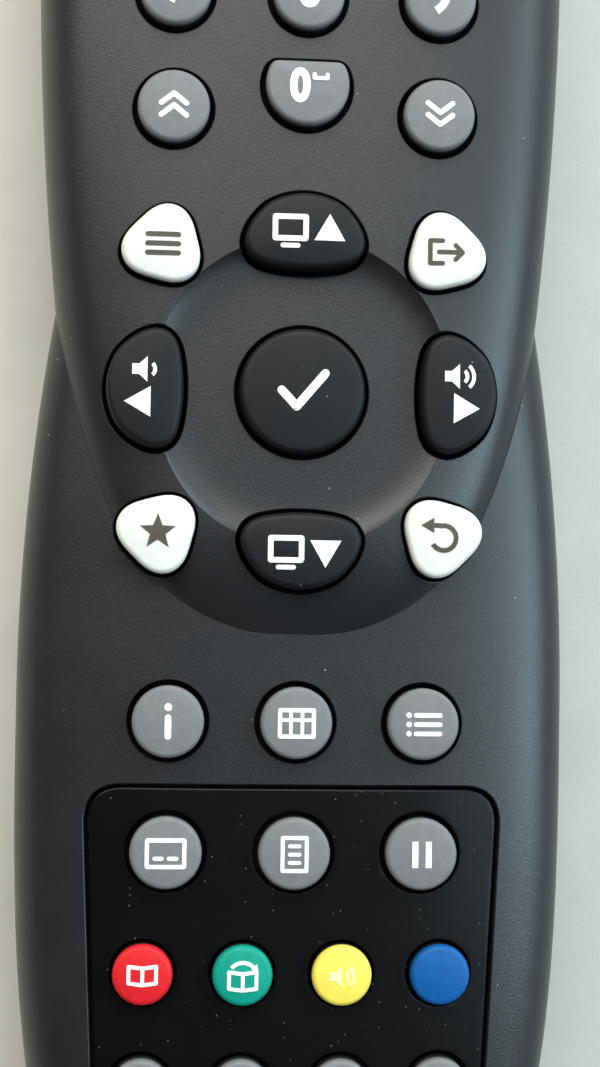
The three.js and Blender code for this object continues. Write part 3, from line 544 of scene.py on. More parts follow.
def make_dust():
    """Specks of dust laid over a colour."""
    group, start, end = node_group(
        "dust",
        [("Color", "NodeSocketColor", (0.5, 0.5, 0.5, 1)), ("Dust", "NodeSocketColor", (0.5, 0.5, 0.48, 1)),
         ("Size", "NodeSocketFloat", 1500), ("Amount", "NodeSocketFloat", 0.2)],
        [("Color", "NodeSocketColor"), ("Mask", "NodeSocketFloat")],
    )
    place = add(group, "ShaderNodeTexCoord").outputs["Object"]
    specks = add(group, "ShaderNodeTexVoronoi", feature="F1", vector=place, scale=start["Size"])
    patches = add(group, "ShaderNodeTexNoise", vector=place, scale=160.0, detail=2.0)
    near = add(group, "ShaderNodeMapRange", specks.outputs["Distance"], 0.16, 0.06)
    picked = add(group, "ShaderNodeSeparateColor", specks.outputs["Color"])
    rare = add(group, "ShaderNodeMath", picked.outputs[0], start["Amount"], operation="LESS_THAN")
    strong = add(group, "ShaderNodeMath", near.outputs["Result"], rare.outputs[0], operation="MULTIPLY")
    shown = add(group, "ShaderNodeMath", strong.outputs[0], patches.outputs["Fac"], operation="MULTIPLY")
    group.links.new(mixed(group, shown.outputs[0], start["Color"], start["Dust"]), end["Color"])
    group.links.new(shown.outputs[0], end["Mask"])
    return group


def make_root():
    """Painted shade on a key's sides: its colour sinks into the dark Root tone with the attribute depth, down
    where the key stands in the shaded gap of its hole.
    """
    # painted shade: the Root tone stands in for the shade that falls in the gap round a key
    group, start, end = node_group(
        "key root",
        [("Color", "NodeSocketColor", (0.5, 0.5, 0.5, 1)), ("Root", "NodeSocketColor", (0.01, 0.01, 0.01, 1)),
         ("Start", "NodeSocketFloat", 0.75), ("End", "NodeSocketFloat", 1.25)],
        [("Color", "NodeSocketColor")],
    )
    depth = add(group, "ShaderNodeAttribute", attribute_name="depth").outputs["Fac"]
    share = add(group, "ShaderNodeMapRange", depth, start["Start"], start["End"])
    group.links.new(mixed(group, share.outputs["Result"], start["Color"], start["Root"]), end["Color"])
    return group


hole_shade_group = make_root()
grain_group = make_grain()
mottle_group = make_mottle()
dust_group = make_dust()

# Materials


def srgb(red, green, blue):
    """A colour written in the 0 to 255 values of a picture."""
    def linear(value):
        value /= 255
        return value / 12.92 if value <= 0.04045 else ((value + 0.055) / 1.055) ** 2.4
    return (linear(red), linear(green), linear(blue), 1)


def placed_group(tree, group, **values):
    node = tree.nodes.new("ShaderNodeGroup")
    node.node_tree = group
    for label, value in values.items():
        node.inputs[label_of(label)].default_value = value
    return node


def moulded(name, tone, other_tone, roughness, grain_size=4000, grain_depth=0.02 * MM, mottle_size=300,
            contrast=1.0, spread=0.08, dust=0.0, dust_size=1500, dust_tone=(0.4, 0.4, 0.38, 1), root=None,
            **shader):
    """A moulded plastic or rubber: mottled colour, dust, wavering roughness and fine grain.
    A key's sides take painted shade, the dark root tone, where its attribute depth says that it stands in its
    hole."""
    look = bpy.data.materials.new(name)
    look.use_nodes = True
    tree = look.node_tree
    link = tree.links.new
    surface = tree.nodes["Principled BSDF"]
    for key, value in shader.items():
        surface.inputs[label_of(key)].default_value = value
    colour = placed_group(tree, mottle_group, tone=tone, other_tone=other_tone, size=mottle_size,
                          contrast=contrast)
    last = colour.outputs["Color"]
    if dust:
        specks = placed_group(tree, dust_group, dust=dust_tone, size=dust_size, amount=dust)
        link(last, specks.inputs["Color"])
        last = specks.outputs["Color"]
    # painted shade: a key's sides darken to the root tone down in its hole
    if root:
        hole_shade = placed_group(tree, hole_shade_group, root=root)
        link(last, hole_shade.inputs["Color"])
        last = hole_shade.outputs["Color"]
    link(last, surface.inputs["Base Color"])
    grain = placed_group(tree, grain_group, size=grain_size, roughness=roughness, spread=spread)
    link(grain.outputs["Roughness"], surface.inputs["Roughness"])
    bump = add(tree, "ShaderNodeBump", strength=1.0, distance=grain_depth)
    link(grain.outputs["Height"], bump.inputs["Height"])
    link(bump.outputs["Normal"], surface.inputs["Normal"])
    return look


# painted shade: the dark tone that the keys' sides take down in their holes
HOLE_SHADE_TONE = srgb(20, 20, 22)
housing_look = moulded("housing plastic", srgb(28, 29, 31), srgb(33, 34, 36), 0.33, grain_size=7000,
                       grain_depth=0.026 * MM, dust=0.012, dust_size=1500)
panel_look = moulded("plate lacquer", srgb(8, 8, 9), srgb(12, 12, 12), 0.3, ior=1.28, grain_size=2600,
                     grain_depth=0.004 * MM, dust=0.14, dust_size=1600, dust_tone=srgb(120, 112, 104))
grey_look = moulded("grey rubber", srgb(117, 118, 119), srgb(108, 109, 110), 0.6, grain_size=6000,
                    grain_depth=0.015 * MM, mottle_size=900, root=HOLE_SHADE_TONE)
white_look = moulded("white rubber", srgb(222, 222, 217), srgb(214, 213, 206), 0.5, grain_size=6000,
                     grain_depth=0.008 * MM, mottle_size=500, root=HOLE_SHADE_TONE)
dark_look = moulded("dark rubber", srgb(13, 15, 18), srgb(18, 20, 23), 0.5, ior=1.33, grain_size=6000,
                    grain_depth=0.015 * MM, mottle_size=700, dust=0.03, dust_size=1800, root=HOLE_SHADE_TONE)


def colour_look(name, tone, other_tone):
    return moulded(name, tone, other_tone, 0.5, ior=1.35, mottle_size=900, root=HOLE_SHADE_TONE)


red_look = colour_look("red rubber", srgb(216, 30, 38), srgb(204, 24, 32))
green_look = colour_look("green rubber", srgb(0, 150, 128), srgb(0, 138, 118))
yellow_look = colour_look("yellow rubber", srgb(240, 222, 96), srgb(230, 210, 80))
blue_look = colour_look("blue rubber", srgb(0, 88, 156), srgb(0, 80, 146))
light_print = moulded("white print", srgb(250, 250, 248), srgb(238, 238, 236), 0.55, mottle_size=2500,
                      grain_depth=0.004 * MM)
dark_print = moulded("dark print", srgb(58, 54, 44), srgb(78, 72, 60), 0.6, mottle_size=3500)
faint_print = moulded("faint print", srgb(250, 244, 200), srgb(242, 228, 130), 0.55, mottle_size=2500)
sheet_look = moulded("keypad rubber", srgb(24, 25, 27), srgb(30, 31, 33), 0.75)
board_look = moulded("board laminate", srgb(122, 90, 44), srgb(104, 76, 38), 0.55, mottle_size=1200)
window_look = moulded("infrared window", srgb(22, 6, 9), srgb(16, 4, 7), 0.12, grain_depth=0.002 * MM,
                      coat_weight=0.4)
contact_look = moulded("nickel contact", srgb(190, 190, 192), srgb(168, 168, 170), 0.3, metallic=1.0,
                       grain_depth=0.004 * MM, mottle_size=600)
screw_look = moulded("zinc screw", srgb(176, 178, 182), srgb(150, 152, 156), 0.38, metallic=1.0,
                     grain_depth=0.006 * MM, mottle_size=900)
cell_look = moulded("cell sleeve", srgb(44, 62, 88), srgb(38, 54, 78), 0.32, grain_depth=0.002 * MM,
                    coat_weight=0.3)
resin_look = moulded("moulded resin", srgb(27, 27, 28), srgb(34, 34, 35), 0.7)
ceramic_look = moulded("dipped ceramic", srgb(196, 122, 44), srgb(180, 108, 36), 0.4)
lens_look = moulded("emitter lens", srgb(150, 158, 176), srgb(140, 148, 168), 0.12, transmission_weight=0.6)

# Housing shells

SECTION_COLUMNS = 112
STATION_STEP = 0.75 * MM
INNER_COLUMNS = 40
INNER_STEP = 2.5 * MM
STATION_FLOOR = 0.02 * MM
END_STATIONS = 30
END_SHARE = 0.9995
TONGUE_FINENESS = 0.6  # stations lie closer together along the tongue


def section_angles(count, upper):
    """Directions that lie evenly along a typical half section, from +X over the top or sole to -X."""
    fine = 40 * count
    width, height, power = HEAD_HALF_WIDTH, HEAD_CROWN - PARTING, HEAD_SECTION
    if not upper:
        height, power = PARTING, UNDERSIDE_SECTION
    path = []
    for i in range(fine + 1):
        across, up = cos(pi * i / fine), sin(pi * i / fine)
        reach = section_reach(across, up, width, height, power)
        path.append((reach * across, reach * up))
    lengths = [0]
    for a, b in zip(path, path[1:]):
        lengths.append(lengths[-1] + hypot(b[0] - a[0], b[1] - a[1]))
    angles = []
    at = 0
    for i in range(count + 1):
        while at < fine and lengths[at] < lengths[-1] * i / count:
            at += 1
        angle = atan2(path[at][0], path[at][1])
        angles.append(angle if upper else pi - angle)
    return angles


def ending(start, end, power, count=END_STATIONS):
    return [start + (end - start) * sin(pi * (i + 1) / (2 * count)) ** (2 / power) for i in range(count)]


def heel_stations(inset):
    end = HANDLE_WIDEST_Y - (HANDLE_WIDEST_Y - HEEL_Y - inset) * END_SHARE
    return [*ending(HANDLE_WIDEST_Y, end, HEEL_PLAN)[::-1], HANDLE_WIDEST_Y]


def nose_stations(inset):
    end = HEAD_WIDEST_Y + (NOSE_Y - inset - HEAD_WIDEST_Y) * END_SHARE
    return ending(HEAD_WIDEST_Y, end, NOSE_PLAN)


def housing_stations(inset, step):
    rows = [*heel_stations(inset), *evenly(HANDLE_WIDEST_Y, -TONGUE_REACH, step),
            *evenly(-TONGUE_REACH, TONGUE_FALL_Y, step * TONGUE_FINENESS),
            *evenly(TONGUE_FALL_Y, HEAD_WIDEST_Y, step), *nose_stations(inset)]
    return [y for i, y in enumerate(rows) if i == 0 or y - rows[i - 1] > WELD]


def half_housing(name, upper, inset, flat, columns=SECTION_COLUMNS, step=STATION_STEP):
    """Closed upper or lower half of the housing, drawn in by inset, with its flat face at a height."""
    angles = section_angles(columns, upper)
    rings = []
    for y in housing_stations(inset, step):
        ring = [skin_point(y, angle, inset) for angle in angles]
        for point in ring:
            point.z = max(point.z, flat) if upper else min(point.z, flat)
        ring[0].z = ring[-1].z = flat
        rings.append(ring)
    return skinned(name, rings)


def head_stations(inset):
    tip = WAIST_Y - (WAIST_Y + TONGUE_REACH - inset) * END_SHARE
    tongue = ending(WAIST_Y, tip, TONGUE_PLAN) + evenly(WAIST_Y, tip, STATION_STEP * TONGUE_FINENESS)
    return [*sorted(tongue), WAIST_Y, *evenly(WAIST_Y, HEAD_WIDEST_Y, STATION_STEP), *nose_stations(inset)]


def handle_stations(inset):
    return heel_stations(inset) + evenly(HANDLE_WIDEST_Y, HANDLE_HIDDEN_END, STATION_STEP)


def half_form(name, form_at, stations, upper, flat):
    """Closed upper or lower half of the head or of the handle alone, with its flat face at a height."""
    rings = []
    for i, y in enumerate(stations):
        if i and y - stations[i - 1] < STATION_FLOOR:
            continue
        form = form_at(y, SKIN)
        height, power = (form.rise, form.power) if upper else (form.drop, UNDERSIDE_SECTION)
        ring = []
        for angle in section_angles(SECTION_COLUMNS, upper):
            across, up = sin(angle), cos(angle)
            reach = section_reach(across, up, form.width, height, power)
            z = PARTING + reach * up
            ring.append(Vector((reach * across, y, max(z, flat) if upper else min(max(z, SKIN), flat))))
        ring[0].z = ring[-1].z = flat
        rings.append(ring)
    return skinned(name, rings)


def head_and_handle(upper, flat):
    """The two volumes that make up one half of the housing."""
    return [half_form("head", head_form, head_stations(SKIN), upper, flat),
            half_form("handle", handle_form, handle_stations(SKIN), upper, flat)]


def dish_cutter():
    """Everything over the dish."""
    rings = []
    for i in range(DISH_RINGS + 1):
        radius = DISH_RADIUS * DISH_OVERLAP * sin(pi / 2 * (i + 0.3) / (DISH_RINGS + 0.3))
        rings.append(raised(circle(radius, DISH_SIDES), dish_height(radius, 0, SKIN)))
    rings.append(raised(circle(radius, DISH_SIDES), HEAD_CROWN + OVERRUN))
    return skinned("dish", rings)


def seam_outline(inset):
    """The housing's outline in the parting plane, drawn in by inset."""
    right = [skin_point(y, pi / 2, inset) for y in housing_stations(inset, STATION_STEP * 2)]
    return right + [Vector((-p.x, p.y, p.z)) for p in reversed(right)]


# Key outlines


def circle(radius, sides=KEY_SIDES):
    angles = [2 * pi * i / sides for i in range(sides)]
    return [Vector((radius * cos(angle), radius * sin(angle))) for angle in angles]


def corner_outline(towards_x, towards_y):
    """A rounded triangle, one corner turned towards (towards_x, towards_y)."""
    facing = atan2(towards_y, towards_x)
    points = []
    for i in range(KEY_SIDES):
        angle = 2 * pi * i / KEY_SIDES
        radius = CORNER_KEY * (1 + CORNER_POINT * cos(3 * (angle - facing)))
        points.append(Vector((radius * cos(angle), radius * sin(angle))))
    return points


ARCH_SHARES = [(0, 1), (0.54, 0.79), (0.86, 0.3), (1, -0.26), (0.9, -0.68), (0.62, -0.9), (0, -1)]


def arch_outline(out_x, out_y):
    """An arch over a nearly straight side, turned towards (out_x, out_y), as one smooth curve."""
    left = [(-u, v) for u, v in reversed(ARCH_SHARES[1:-1])]
    knots = []
    for u, v in reversed(ARCH_SHARES + left):
        across, out = u * ARCH_LENGTH / 2, v * ARCH_WIDTH / 2
        knots.append(Vector((across * out_y + out * out_x, out * out_y - across * out_x)))
    count = len(knots)
    steps = KEY_SIDES // count
    points = []
    for i in range(count):
        before, start, end, after = (knots[(i + k - 1) % count] for k in range(4))
        length = (end - start).length
        leave = (end - before) * length / ((end - start).length + (start - before).length)
        arrive = (after - start) * length / ((after - end).length + (end - start).length)
        for k in range(steps):
            t = k / steps
            points.append(
                start * (2 * t**3 - 3 * t**2 + 1) + leave * (t**3 - 2 * t**2 + t)
                + end * (3 * t**2 - 2 * t**3) + arrive * (t**3 - t**2)
            )
    return points


def zero_outline():
    """A circle with its upper side cut flat and the two corners rounded."""
    points = []
    for p in circle(ZERO_KEY):
        flat = ZERO_FLAT * rounded(p.x / (2 * ZERO_KEY), NOSE_PLAN)
        points.append(Vector((p.x, soft_min(p.y, flat, ZERO_SOFTNESS))))
    return points


def grown(outline, distance):
    """The outline moved out by a distance along its own normals."""
    count = len(outline)
    points = []
    for i, p in enumerate(outline):
        along = (outline[(i + 1) % count] - outline[i - 1]).normalized()
        points.append(Vector((p.x + along.y * distance, p.y - along.x * distance)))
    return points


# Printed symbols, drawn in millimetres round a key's middle

PRINT_STEP = 0.4
DIGIT_SIZE = 4.1
DIGIT_WEIGHT = 0.2


def slab(bm, outline):
    flat = [Vector((x, y, 0)) for x, y in outline]
    skin(bm, [[p - Vector((0, 0, 0.5)) for p in flat], [p + Vector((0, 0, 0.5)) for p in flat]])


def arc(x, y, radius, start, end, steps=12):
    """Points on an arc between two angles in degrees."""
    angles = [radians(start + (end - start) * i / steps) for i in range(steps + 1)]
    return [(x + radius * cos(a), y + radius * sin(a)) for a in angles]


def stroke(bm, points, width=0.44):
    """A line of round-ended bars."""
    for (x0, y0), (x1, y1) in zip(points, points[1:]):
        tilt = atan2(y1 - y0, x1 - x0) * 180 / pi
        slab(bm, [*arc(x1, y1, width / 2, tilt - 90, tilt + 90, 6),
                  *arc(x0, y0, width / 2, tilt + 90, tilt + 270, 6)])


def curved_stroke(bm, x, y, radius, start, end, width=0.44):
    outer = arc(x, y, radius + width / 2, start, end)
    inner = arc(x, y, radius - width / 2, end, start)
    slab(bm, outer + inner)


def triangle(bm, x, y, size, towards):
    """A filled triangle whose tip points in a direction in degrees."""
    slab(bm, arc(x, y, size, towards, towards + 240, 2))


def text(bm, body, size, x=0.0, y=0.0, narrow=0.86, weight=0.03):
    curve = bpy.data.curves.new("text", "FONT")
    curve.body = body
    curve.size = size
    curve.align_x = "CENTER"
    curve.align_y = "CENTER"
    curve.extrude = 0.5
    curve.offset = weight
    mesh = curve_mesh(curve)
    mesh.transform(Matrix.Translation((x, y, 0)) @ Matrix.Diagonal((narrow, 1, 1, 1)))
    letters = bmesh.new()
    letters.from_mesh(mesh)
    bmesh.ops.remove_doubles(letters, verts=letters.verts, dist=0.001)
    letters.to_mesh(mesh)
    letters.free()
    bm.from_mesh(mesh)
    bpy.data.meshes.remove(mesh)


def digit(bm, body):
    text(bm, body, DIGIT_SIZE, weight=DIGIT_WEIGHT)


def zero(bm):
    text(bm, "0", DIGIT_SIZE, x=-0.75, y=-0.45, weight=DIGIT_WEIGHT)
    stroke(bm, [(0.55, 0.75), (0.55, 0.4), (1.75, 0.4), (1.75, 0.75)], 0.36)


def speaker(bm, x, y, size, waves=2):
    shape = [(-1, -0.42), (-0.45, -0.42), (0.2, -1), (0.2, 1), (-0.45, 0.42), (-1, 0.42)]
    slab(bm, [(x + size * u, y + size * v) for u, v in shape])
    for i in range(waves):
        curved_stroke(bm, x + size * 0.2, y, size * (0.6 + 0.55 * i), -48, 48, 0.34)


def screen(bm, x, y, width, height, line=0.34):
    u, v = width / 2, height / 2
    stroke(bm, [(x - u, y - v), (x + u, y - v), (x + u, y + v), (x - u, y + v), (x - u, y - v)], line)


def power(bm):
    curved_stroke(bm, 0, -0.15, 1.2, 125, 415)
    stroke(bm, [(0, 0.2), (0, 1.45)])


def mute(bm):
    speaker(bm, 0.1, 0, 1.15, 0)
    stroke(bm, [(0.75, 0.5), (1.65, -0.5)], 0.3)
    stroke(bm, [(0.75, -0.5), (1.65, 0.5)], 0.3)


def chevrons(bm, up):
    for lift in (-0.55, 0.55):
        stroke(bm, [(-1.15, lift - 0.45 * up), (0, lift + 0.45 * up), (1.15, lift - 0.45 * up)], 0.48)


def channel(bm, up):
    screen(bm, -1.4, 0.15, 2.8, 2.0, 0.5)
    stroke(bm, [(-2.1, -1.5), (-0.7, -1.5)], 0.42)
    triangle(bm, 2.2, -0.15 if up > 0 else 0.15, 1.65, 90 * up)


def volume(bm, louder):
    speaker(bm, -0.25 if louder > 0 else 0, 1.6, 1.15, 2 if louder > 0 else 1)
    triangle(bm, 0.25 * louder, -1.35, 1.6, 90 - 90 * louder)


def tick(bm):
    stroke(bm, [(-1.95, 0.05), (-0.55, -1.45), (2.05, 1.65)], 0.78)


def bars(bm):
    for i in (-1, 0, 1):
        stroke(bm, [(-1.4, 0.85 * i), (1.4, 0.85 * i)], 0.46)


def way_out(bm):
    stroke(bm, [(-0.35, 1.05), (-1.5, 1.05), (-1.5, -1.05), (-0.35, -1.05)], 0.42)
    stroke(bm, [(-0.7, 0), (1.5, 0)], 0.42)
    stroke(bm, [(0.85, 0.65), (1.5, 0), (0.85, -0.65)], 0.42)


def star(bm):
    points = []
    for i in range(10):
        angle = radians(90 + 36 * i)
        radius = 1.7 if i % 2 == 0 else 0.72
        points.append((radius * cos(angle), radius * sin(angle)))
    slab(bm, points)


def back_turn(bm):
    curved_stroke(bm, 0.15, -0.1, 1.15, -150, 110, 0.44)
    stroke(bm, [(-0.2, 1.05), (-1.2, 1.05)], 0.44)
    triangle(bm, -1.15, 1.05, 0.8, 180)


def letter_i(bm):
    slab(bm, arc(0, 1.35, 0.36, 0, 330, 11))
    stroke(bm, [(0, 0.4), (0, -1.3)], 0.6)


def table_grid(bm):
    screen(bm, 0, 0, 3.1, 2.4, 0.38)
    stroke(bm, [(-1.55, 0.3), (1.55, 0.3)], 0.32)
    for x in (-0.55, 0.5):
        stroke(bm, [(x, -1.2), (x, 1.2)], 0.32)


def dotted_list(bm):
    for i in (-1, 0, 1):
        slab(bm, arc(-1.4, 0.85 * i, 0.26, 0, 324, 9))
        stroke(bm, [(-0.75, 0.85 * i), (1.5, 0.85 * i)], 0.42)


def captions(bm):
    screen(bm, 0, 0, 3.4, 2.4, 0.38)
    stroke(bm, [(-1.0, -0.45), (-0.35, -0.45)], 0.38)
    stroke(bm, [(0.3, -0.45), (1.0, -0.45)], 0.38)


def page(bm):
    screen(bm, 0, 0, 2.2, 3.0, 0.36)
    for i in (-1, 0, 1):
        stroke(bm, [(-0.45, 0.75 * i), (0.45, 0.75 * i)], 0.34)


def pause(bm):
    for x in (-0.62, 0.62):
        slab(bm, [(x - 0.28, -1.2), (x + 0.28, -1.2), (x + 0.28, 1.2), (x - 0.28, 1.2)])


def two_panes(bm, y=0.0):
    for side in (-1, 1):
        u = 1.25 * side
        stroke(bm, [(0, y - 0.8), (u, y - 0.65), (u, y + 0.85), (0, y + 0.7)], 0.34)
    stroke(bm, [(0, y - 0.8), (0, y + 0.7)], 0.34)


def turned_panes(bm):
    two_panes(bm, -0.45)
    curved_stroke(bm, 0, -0.1, 1.35, 35, 140, 0.34)
    triangle(bm, 1.15, 0.72, 0.42, -50)


def faint_speaker(bm):
    speaker(bm, -0.25, 0, 0.95, 2)


def wind(bm, towards):
    for x in (-0.6, 0.75):
        triangle(bm, x * towards, 0, 0.95, 90 - 90 * towards)


def play(bm):
    triangle(bm, -0.15, 0, 1.25, 0)


def stop(bm):
    slab(bm, [(-0.9, -0.9), (0.9, -0.9), (0.9, 0.9), (-0.9, 0.9)])


# Keys

Key = namedtuple("Key", "name outline edge gap look slot draw print_look")
Look = namedtuple("Look", "material slot print_look edge gap")
GREY = Look(grey_look, "grey_key", light_print, 0.45 * MM, GREY_HOLE_MARGIN)
WHITE = Look(white_look, "white_key", dark_print, 0.5 * MM, HOLE_MARGIN)
DARK = Look(dark_look, "dark_key", light_print, 0.6 * MM, DARK_HOLE_MARGIN)


def key(name, outline, look, draw):
    return Key(name, outline, look.edge, look.gap, look.material, look.slot, draw, look.print_look)


def round_key(name, draw):
    return key(name, circle(ROUND_KEY), GREY, draw)


def last_row_key(name, draw):
    return key(name, circle(COLOUR_KEY), GREY, draw)


def coloured(name, material, draw, print_look=light_print):
    name += "_key"
    return Key(name, circle(COLOUR_KEY), 0.5 * MM, HOLE_MARGIN, material, name, draw, print_look)


def digit_key(value):
    return round_key(f"digit_{value}_key", lambda bm: digit(bm, str(value)))


KEYS = [
    round_key("power_key", power),
    round_key("mute_key", mute),
    *[digit_key(value) for value in range(1, 10)],
    round_key("page_up_key", lambda bm: chevrons(bm, 1)),
    key("digit_0_key", zero_outline(), GREY, zero),
    round_key("page_down_key", lambda bm: chevrons(bm, -1)),
    key("menu_key", corner_outline(1, -1), WHITE, bars),
    key("exit_key", corner_outline(-1, -1), WHITE, way_out),
    key("favourite_key", corner_outline(1, 1), WHITE, star),
    key("recall_key", corner_outline(-1, 1), WHITE, back_turn),
    key("channel_up_key", arch_outline(0, 1), DARK, lambda bm: channel(bm, 1)),
    key("channel_down_key", arch_outline(0, -1), DARK, lambda bm: channel(bm, -1)),
    key("volume_down_key", arch_outline(-1, 0), DARK, lambda bm: volume(bm, -1)),
    key("volume_up_key", arch_outline(1, 0), DARK, lambda bm: volume(bm, 1)),
    key("ok_key", circle(OK_KEY), DARK, tick),
    round_key("info_key", letter_i),
    round_key("guide_key", table_grid),
    round_key("list_key", dotted_list),
    round_key("subtitle_key", captions),
    round_key("text_key", page),
    round_key("pause_key", pause),
    coloured("red", red_look, two_panes),
    coloured("green", green_look, turned_panes),
    coloured("yellow", yellow_look, faint_speaker, faint_print),
    coloured("blue", blue_look, None),
    last_row_key("rewind_key", lambda bm: wind(bm, -1)),
    last_row_key("play_key", play),
    last_row_key("forward_key", lambda bm: wind(bm, 1)),
    last_row_key("stop_key", stop),
]


def place_of(item):
    """Where the outline's own middle lies, from the node's box and the outline's box."""
    xs = [p.x for p in item.outline]
    ys = [p.y for p in item.outline]
    middle = middle_of(item.name)
    return Vector((middle.x - (min(xs) + max(xs)) / 2, middle.y - OK_Y - (min(ys) + max(ys)) / 2))


def at(outline, place):
    return [p + place for p in outline]


def in_panel(item):
    return place_of(item).y < PANEL_TOP_Y


def rounded_rim(outline_at, depth, edge, steps):
    """Rings up a rim rounded over along the face that lies depth down, and on past the housing.
    outline_at gives the outline for a spread of the rim."""
    rings = []
    for i in range(steps + 1):
        turn = pi / 2 * i / steps
        outline = outline_at(edge * (1 - cos(turn)))
        rings.append(raised(outline, lambda x, y: surface_at(x, y, depth) - edge * (1 - sin(turn))))
    return [*rings, raised(outline, HEAD_CROWN + OVERRUN)]


def key_hole(bm, item, depth, edge):
    """Cutter of a key's hole, whose upper edge is rounded over along the face that lies depth down."""
    place = place_of(item)

    def outline_at(spread):
        return at(grown(item.outline, item.gap + spread), place)

    skin(bm, [raised(outline_at(0), PARTING), *rounded_rim(outline_at, depth, edge, 5)])


def key_top(item, crown_z):
    """Height of a key's top over a point of its own, following its crown."""
    inner = grown(item.outline, -item.edge)
    spokes = sorted((atan2(p.y, p.x), p.length) for p in inner)

    def height(x, y):
        angle = atan2(y, x)
        reach = min(spokes, key=lambda spoke: abs(spoke[0] - angle))[1]
        return crown_z - KEY_CROWN * min(hypot(x, y) / reach, 1) ** 2

    return height


def dress_key(item):
    place = place_of(item)
    low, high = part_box(item.name)
    crown_z = high.z - PRINT_RISE - PRINT_DEPTH / 2
    rim_z = crown_z - KEY_CROWN
    depth = PANEL_SUNK + PANEL_THICKNESS if in_panel(item) else WALL
    skirt_rim = at(grown(item.outline, SKIRT_MARGIN), place)
    skirt_top = min(surface_at(p.x, p.y, depth) for p in skirt_rim) - SEAT
    skirt_low = skirt_top - SKIRT_HEIGHT
    pill = OK_PILL_RADIUS if item.name == "ok_key" else PILL_RADIUS
    stem = [p.normalized() * pill for p in item.outline]
    rings = [(stem, low.z + SKIN), (stem, skirt_low), (grown(item.outline, SKIRT_MARGIN), skirt_low),
             (item.outline, skirt_top), (item.outline, rim_z - item.edge)]
    for i in range(1, EDGE_STEPS + 1):
        turn = pi / 2 * i / EDGE_STEPS
        rings.append((grown(item.outline, -item.edge * (1 - cos(turn))), rim_z - item.edge * (1 - sin(turn))))
    inner = rings[-1][0]
    for share in CROWN_SHARES:
        rings.append(([p * share for p in inner], rim_z + KEY_CROWN * (1 - share**2)))
    bm = bmesh.new()
    skin(bm, [raised(at(outline, place), height) for outline, height in rings])
    depth = bm.verts.layers.float.new("depth")
    for vert in bm.verts:
        vert[depth] = (crown_z - vert.co.z) / MM
    name = item.name.replace("_key", "_cap")
    finished(solid(name, bm), name, item.name, item.look, item.slot, [item.name], 40)
    if item.draw:
        print_symbol(item, place, crown_z)


def print_symbol(item, place, crown_z):
    """Lays the drawn symbol on the key's crown as a thin printed layer."""
    bm = bmesh.new()
    item.draw(bm)
    size = max(max(abs(v.co.x), abs(v.co.y)) for v in bm.verts)
    lines = ceil(size / PRINT_STEP)
    for axis in (Vector((1, 0, 0)), Vector((0, 1, 0))):
        for i in range(-lines, lines + 1):
            bmesh.ops.bisect_plane(bm, geom=[*bm.verts, *bm.edges, *bm.faces], dist=WELD,
                                   plane_co=axis * i * PRINT_STEP, plane_no=axis)
    height = key_top(item, crown_z)
    for vert in bm.verts:
        x, y = vert.co.x * MM, vert.co.y * MM
        vert.co = (x + place.x, y + place.y, height(x, y) + PRINT_RISE + vert.co.z * PRINT_DEPTH)
    name = item.name.replace("_key", "_print")
    slot = "dark_key" if item.print_look == dark_print else "white_key"
    finished(solid(name, bm), name, item.name, item.print_look, slot)


# Inset plate


def panel_outline(grow=0.0):
    """Outline of the inset plate, grown by a distance, with points close enough to follow the housing."""
    top, bottom = PANEL_TOP_Y + grow, PANEL_BOTTOM_Y - grow
    top_x = PANEL_TOP_HALF + grow
    bottom_x = top_x - PANEL_TAPER
    top_curve, bottom_curve = PANEL_TOP_RADIUS + grow, PANEL_BOTTOM_RADIUS + grow

    def bend(start, corner, end, steps=10):
        return [
            start * (1 - t) ** 2 + corner * 2 * t * (1 - t) + end * t**2
            for t in (i / steps for i in range(steps + 1))
        ]

    def straight(start, end):
        count = ceil((end - start).length / MM)
        return [start.lerp(end, i / count) for i in range(1, count)]

    right_top = bend(Vector((top_x, top - top_curve)), Vector((top_x, top)), Vector((top_x - top_curve, top)))
    left_top = [Vector((-p.x, p.y)) for p in reversed(right_top)]
    left_low = bend(Vector((-bottom_x, bottom + bottom_curve)), Vector((-bottom_x, bottom)),
                    Vector((bottom_curve - bottom_x, bottom)))
    right_low = [Vector((-p.x, p.y)) for p in reversed(left_low)]
    outline = []
    parts = [right_top, left_top, left_low, right_low]
    for i, part in enumerate(parts):
        outline += part + straight(part[-1], parts[(i + 1) % 4][0])
    return outline


def panel_recess():
    """Cutter of the opening that the plate lies in, with a rounded upper edge."""
    rim = rounded_rim(lambda spread: panel_outline(SEAT + spread), SKIN, PANEL_EDGE, 4)
    return skinned("recess", [raised(panel_outline(PANEL_GAP), PARTING), *rim])


def plate_layer():
    """A layer that follows the handle's upper face, from the plate's top to its underside."""
    reach_x = PANEL_TOP_HALF + OVERRUN
    low, high = PANEL_BOTTOM_Y - OVERRUN, PANEL_TOP_Y + OVERRUN
    columns, rows = 70, 64
    xs = [reach_x * (2 * i / columns - 1) for i in range(columns + 1)]
    rings = []
    for j in range(rows + 1):
        y = low + (high - low) * j / rows
        top = [Vector((x, y, surface_at(x, y, PANEL_SUNK))) for x in xs]
        under = [Vector((x, y, surface_at(x, y, PANEL_SUNK + PANEL_THICKNESS))) for x in reversed(xs)]
        rings.append(top + under)
    return skinned("layer", rings)


def dress_panel():
    """The glossy plate: its layer within a chamfered outline, with the lower keys' holes."""
    rim = rounded_rim(lambda spread: panel_outline(-spread), PANEL_SUNK, PANEL_EDGE, 3)
    plate = carve(skinned("plate", [raised(panel_outline(), PARTING), *rim]), plate_layer(), "INTERSECT")
    bm = bmesh.new()
    for item in filter(in_panel, KEYS):
        key_hole(bm, item, PANEL_SUNK, PLATE_HOLE_EDGE)
    carve(plate, solid("holes", bm))
    finished(plate, "inset_plate", "housing", panel_look, "panel", ["key_panel"], 40)


# Upper housing


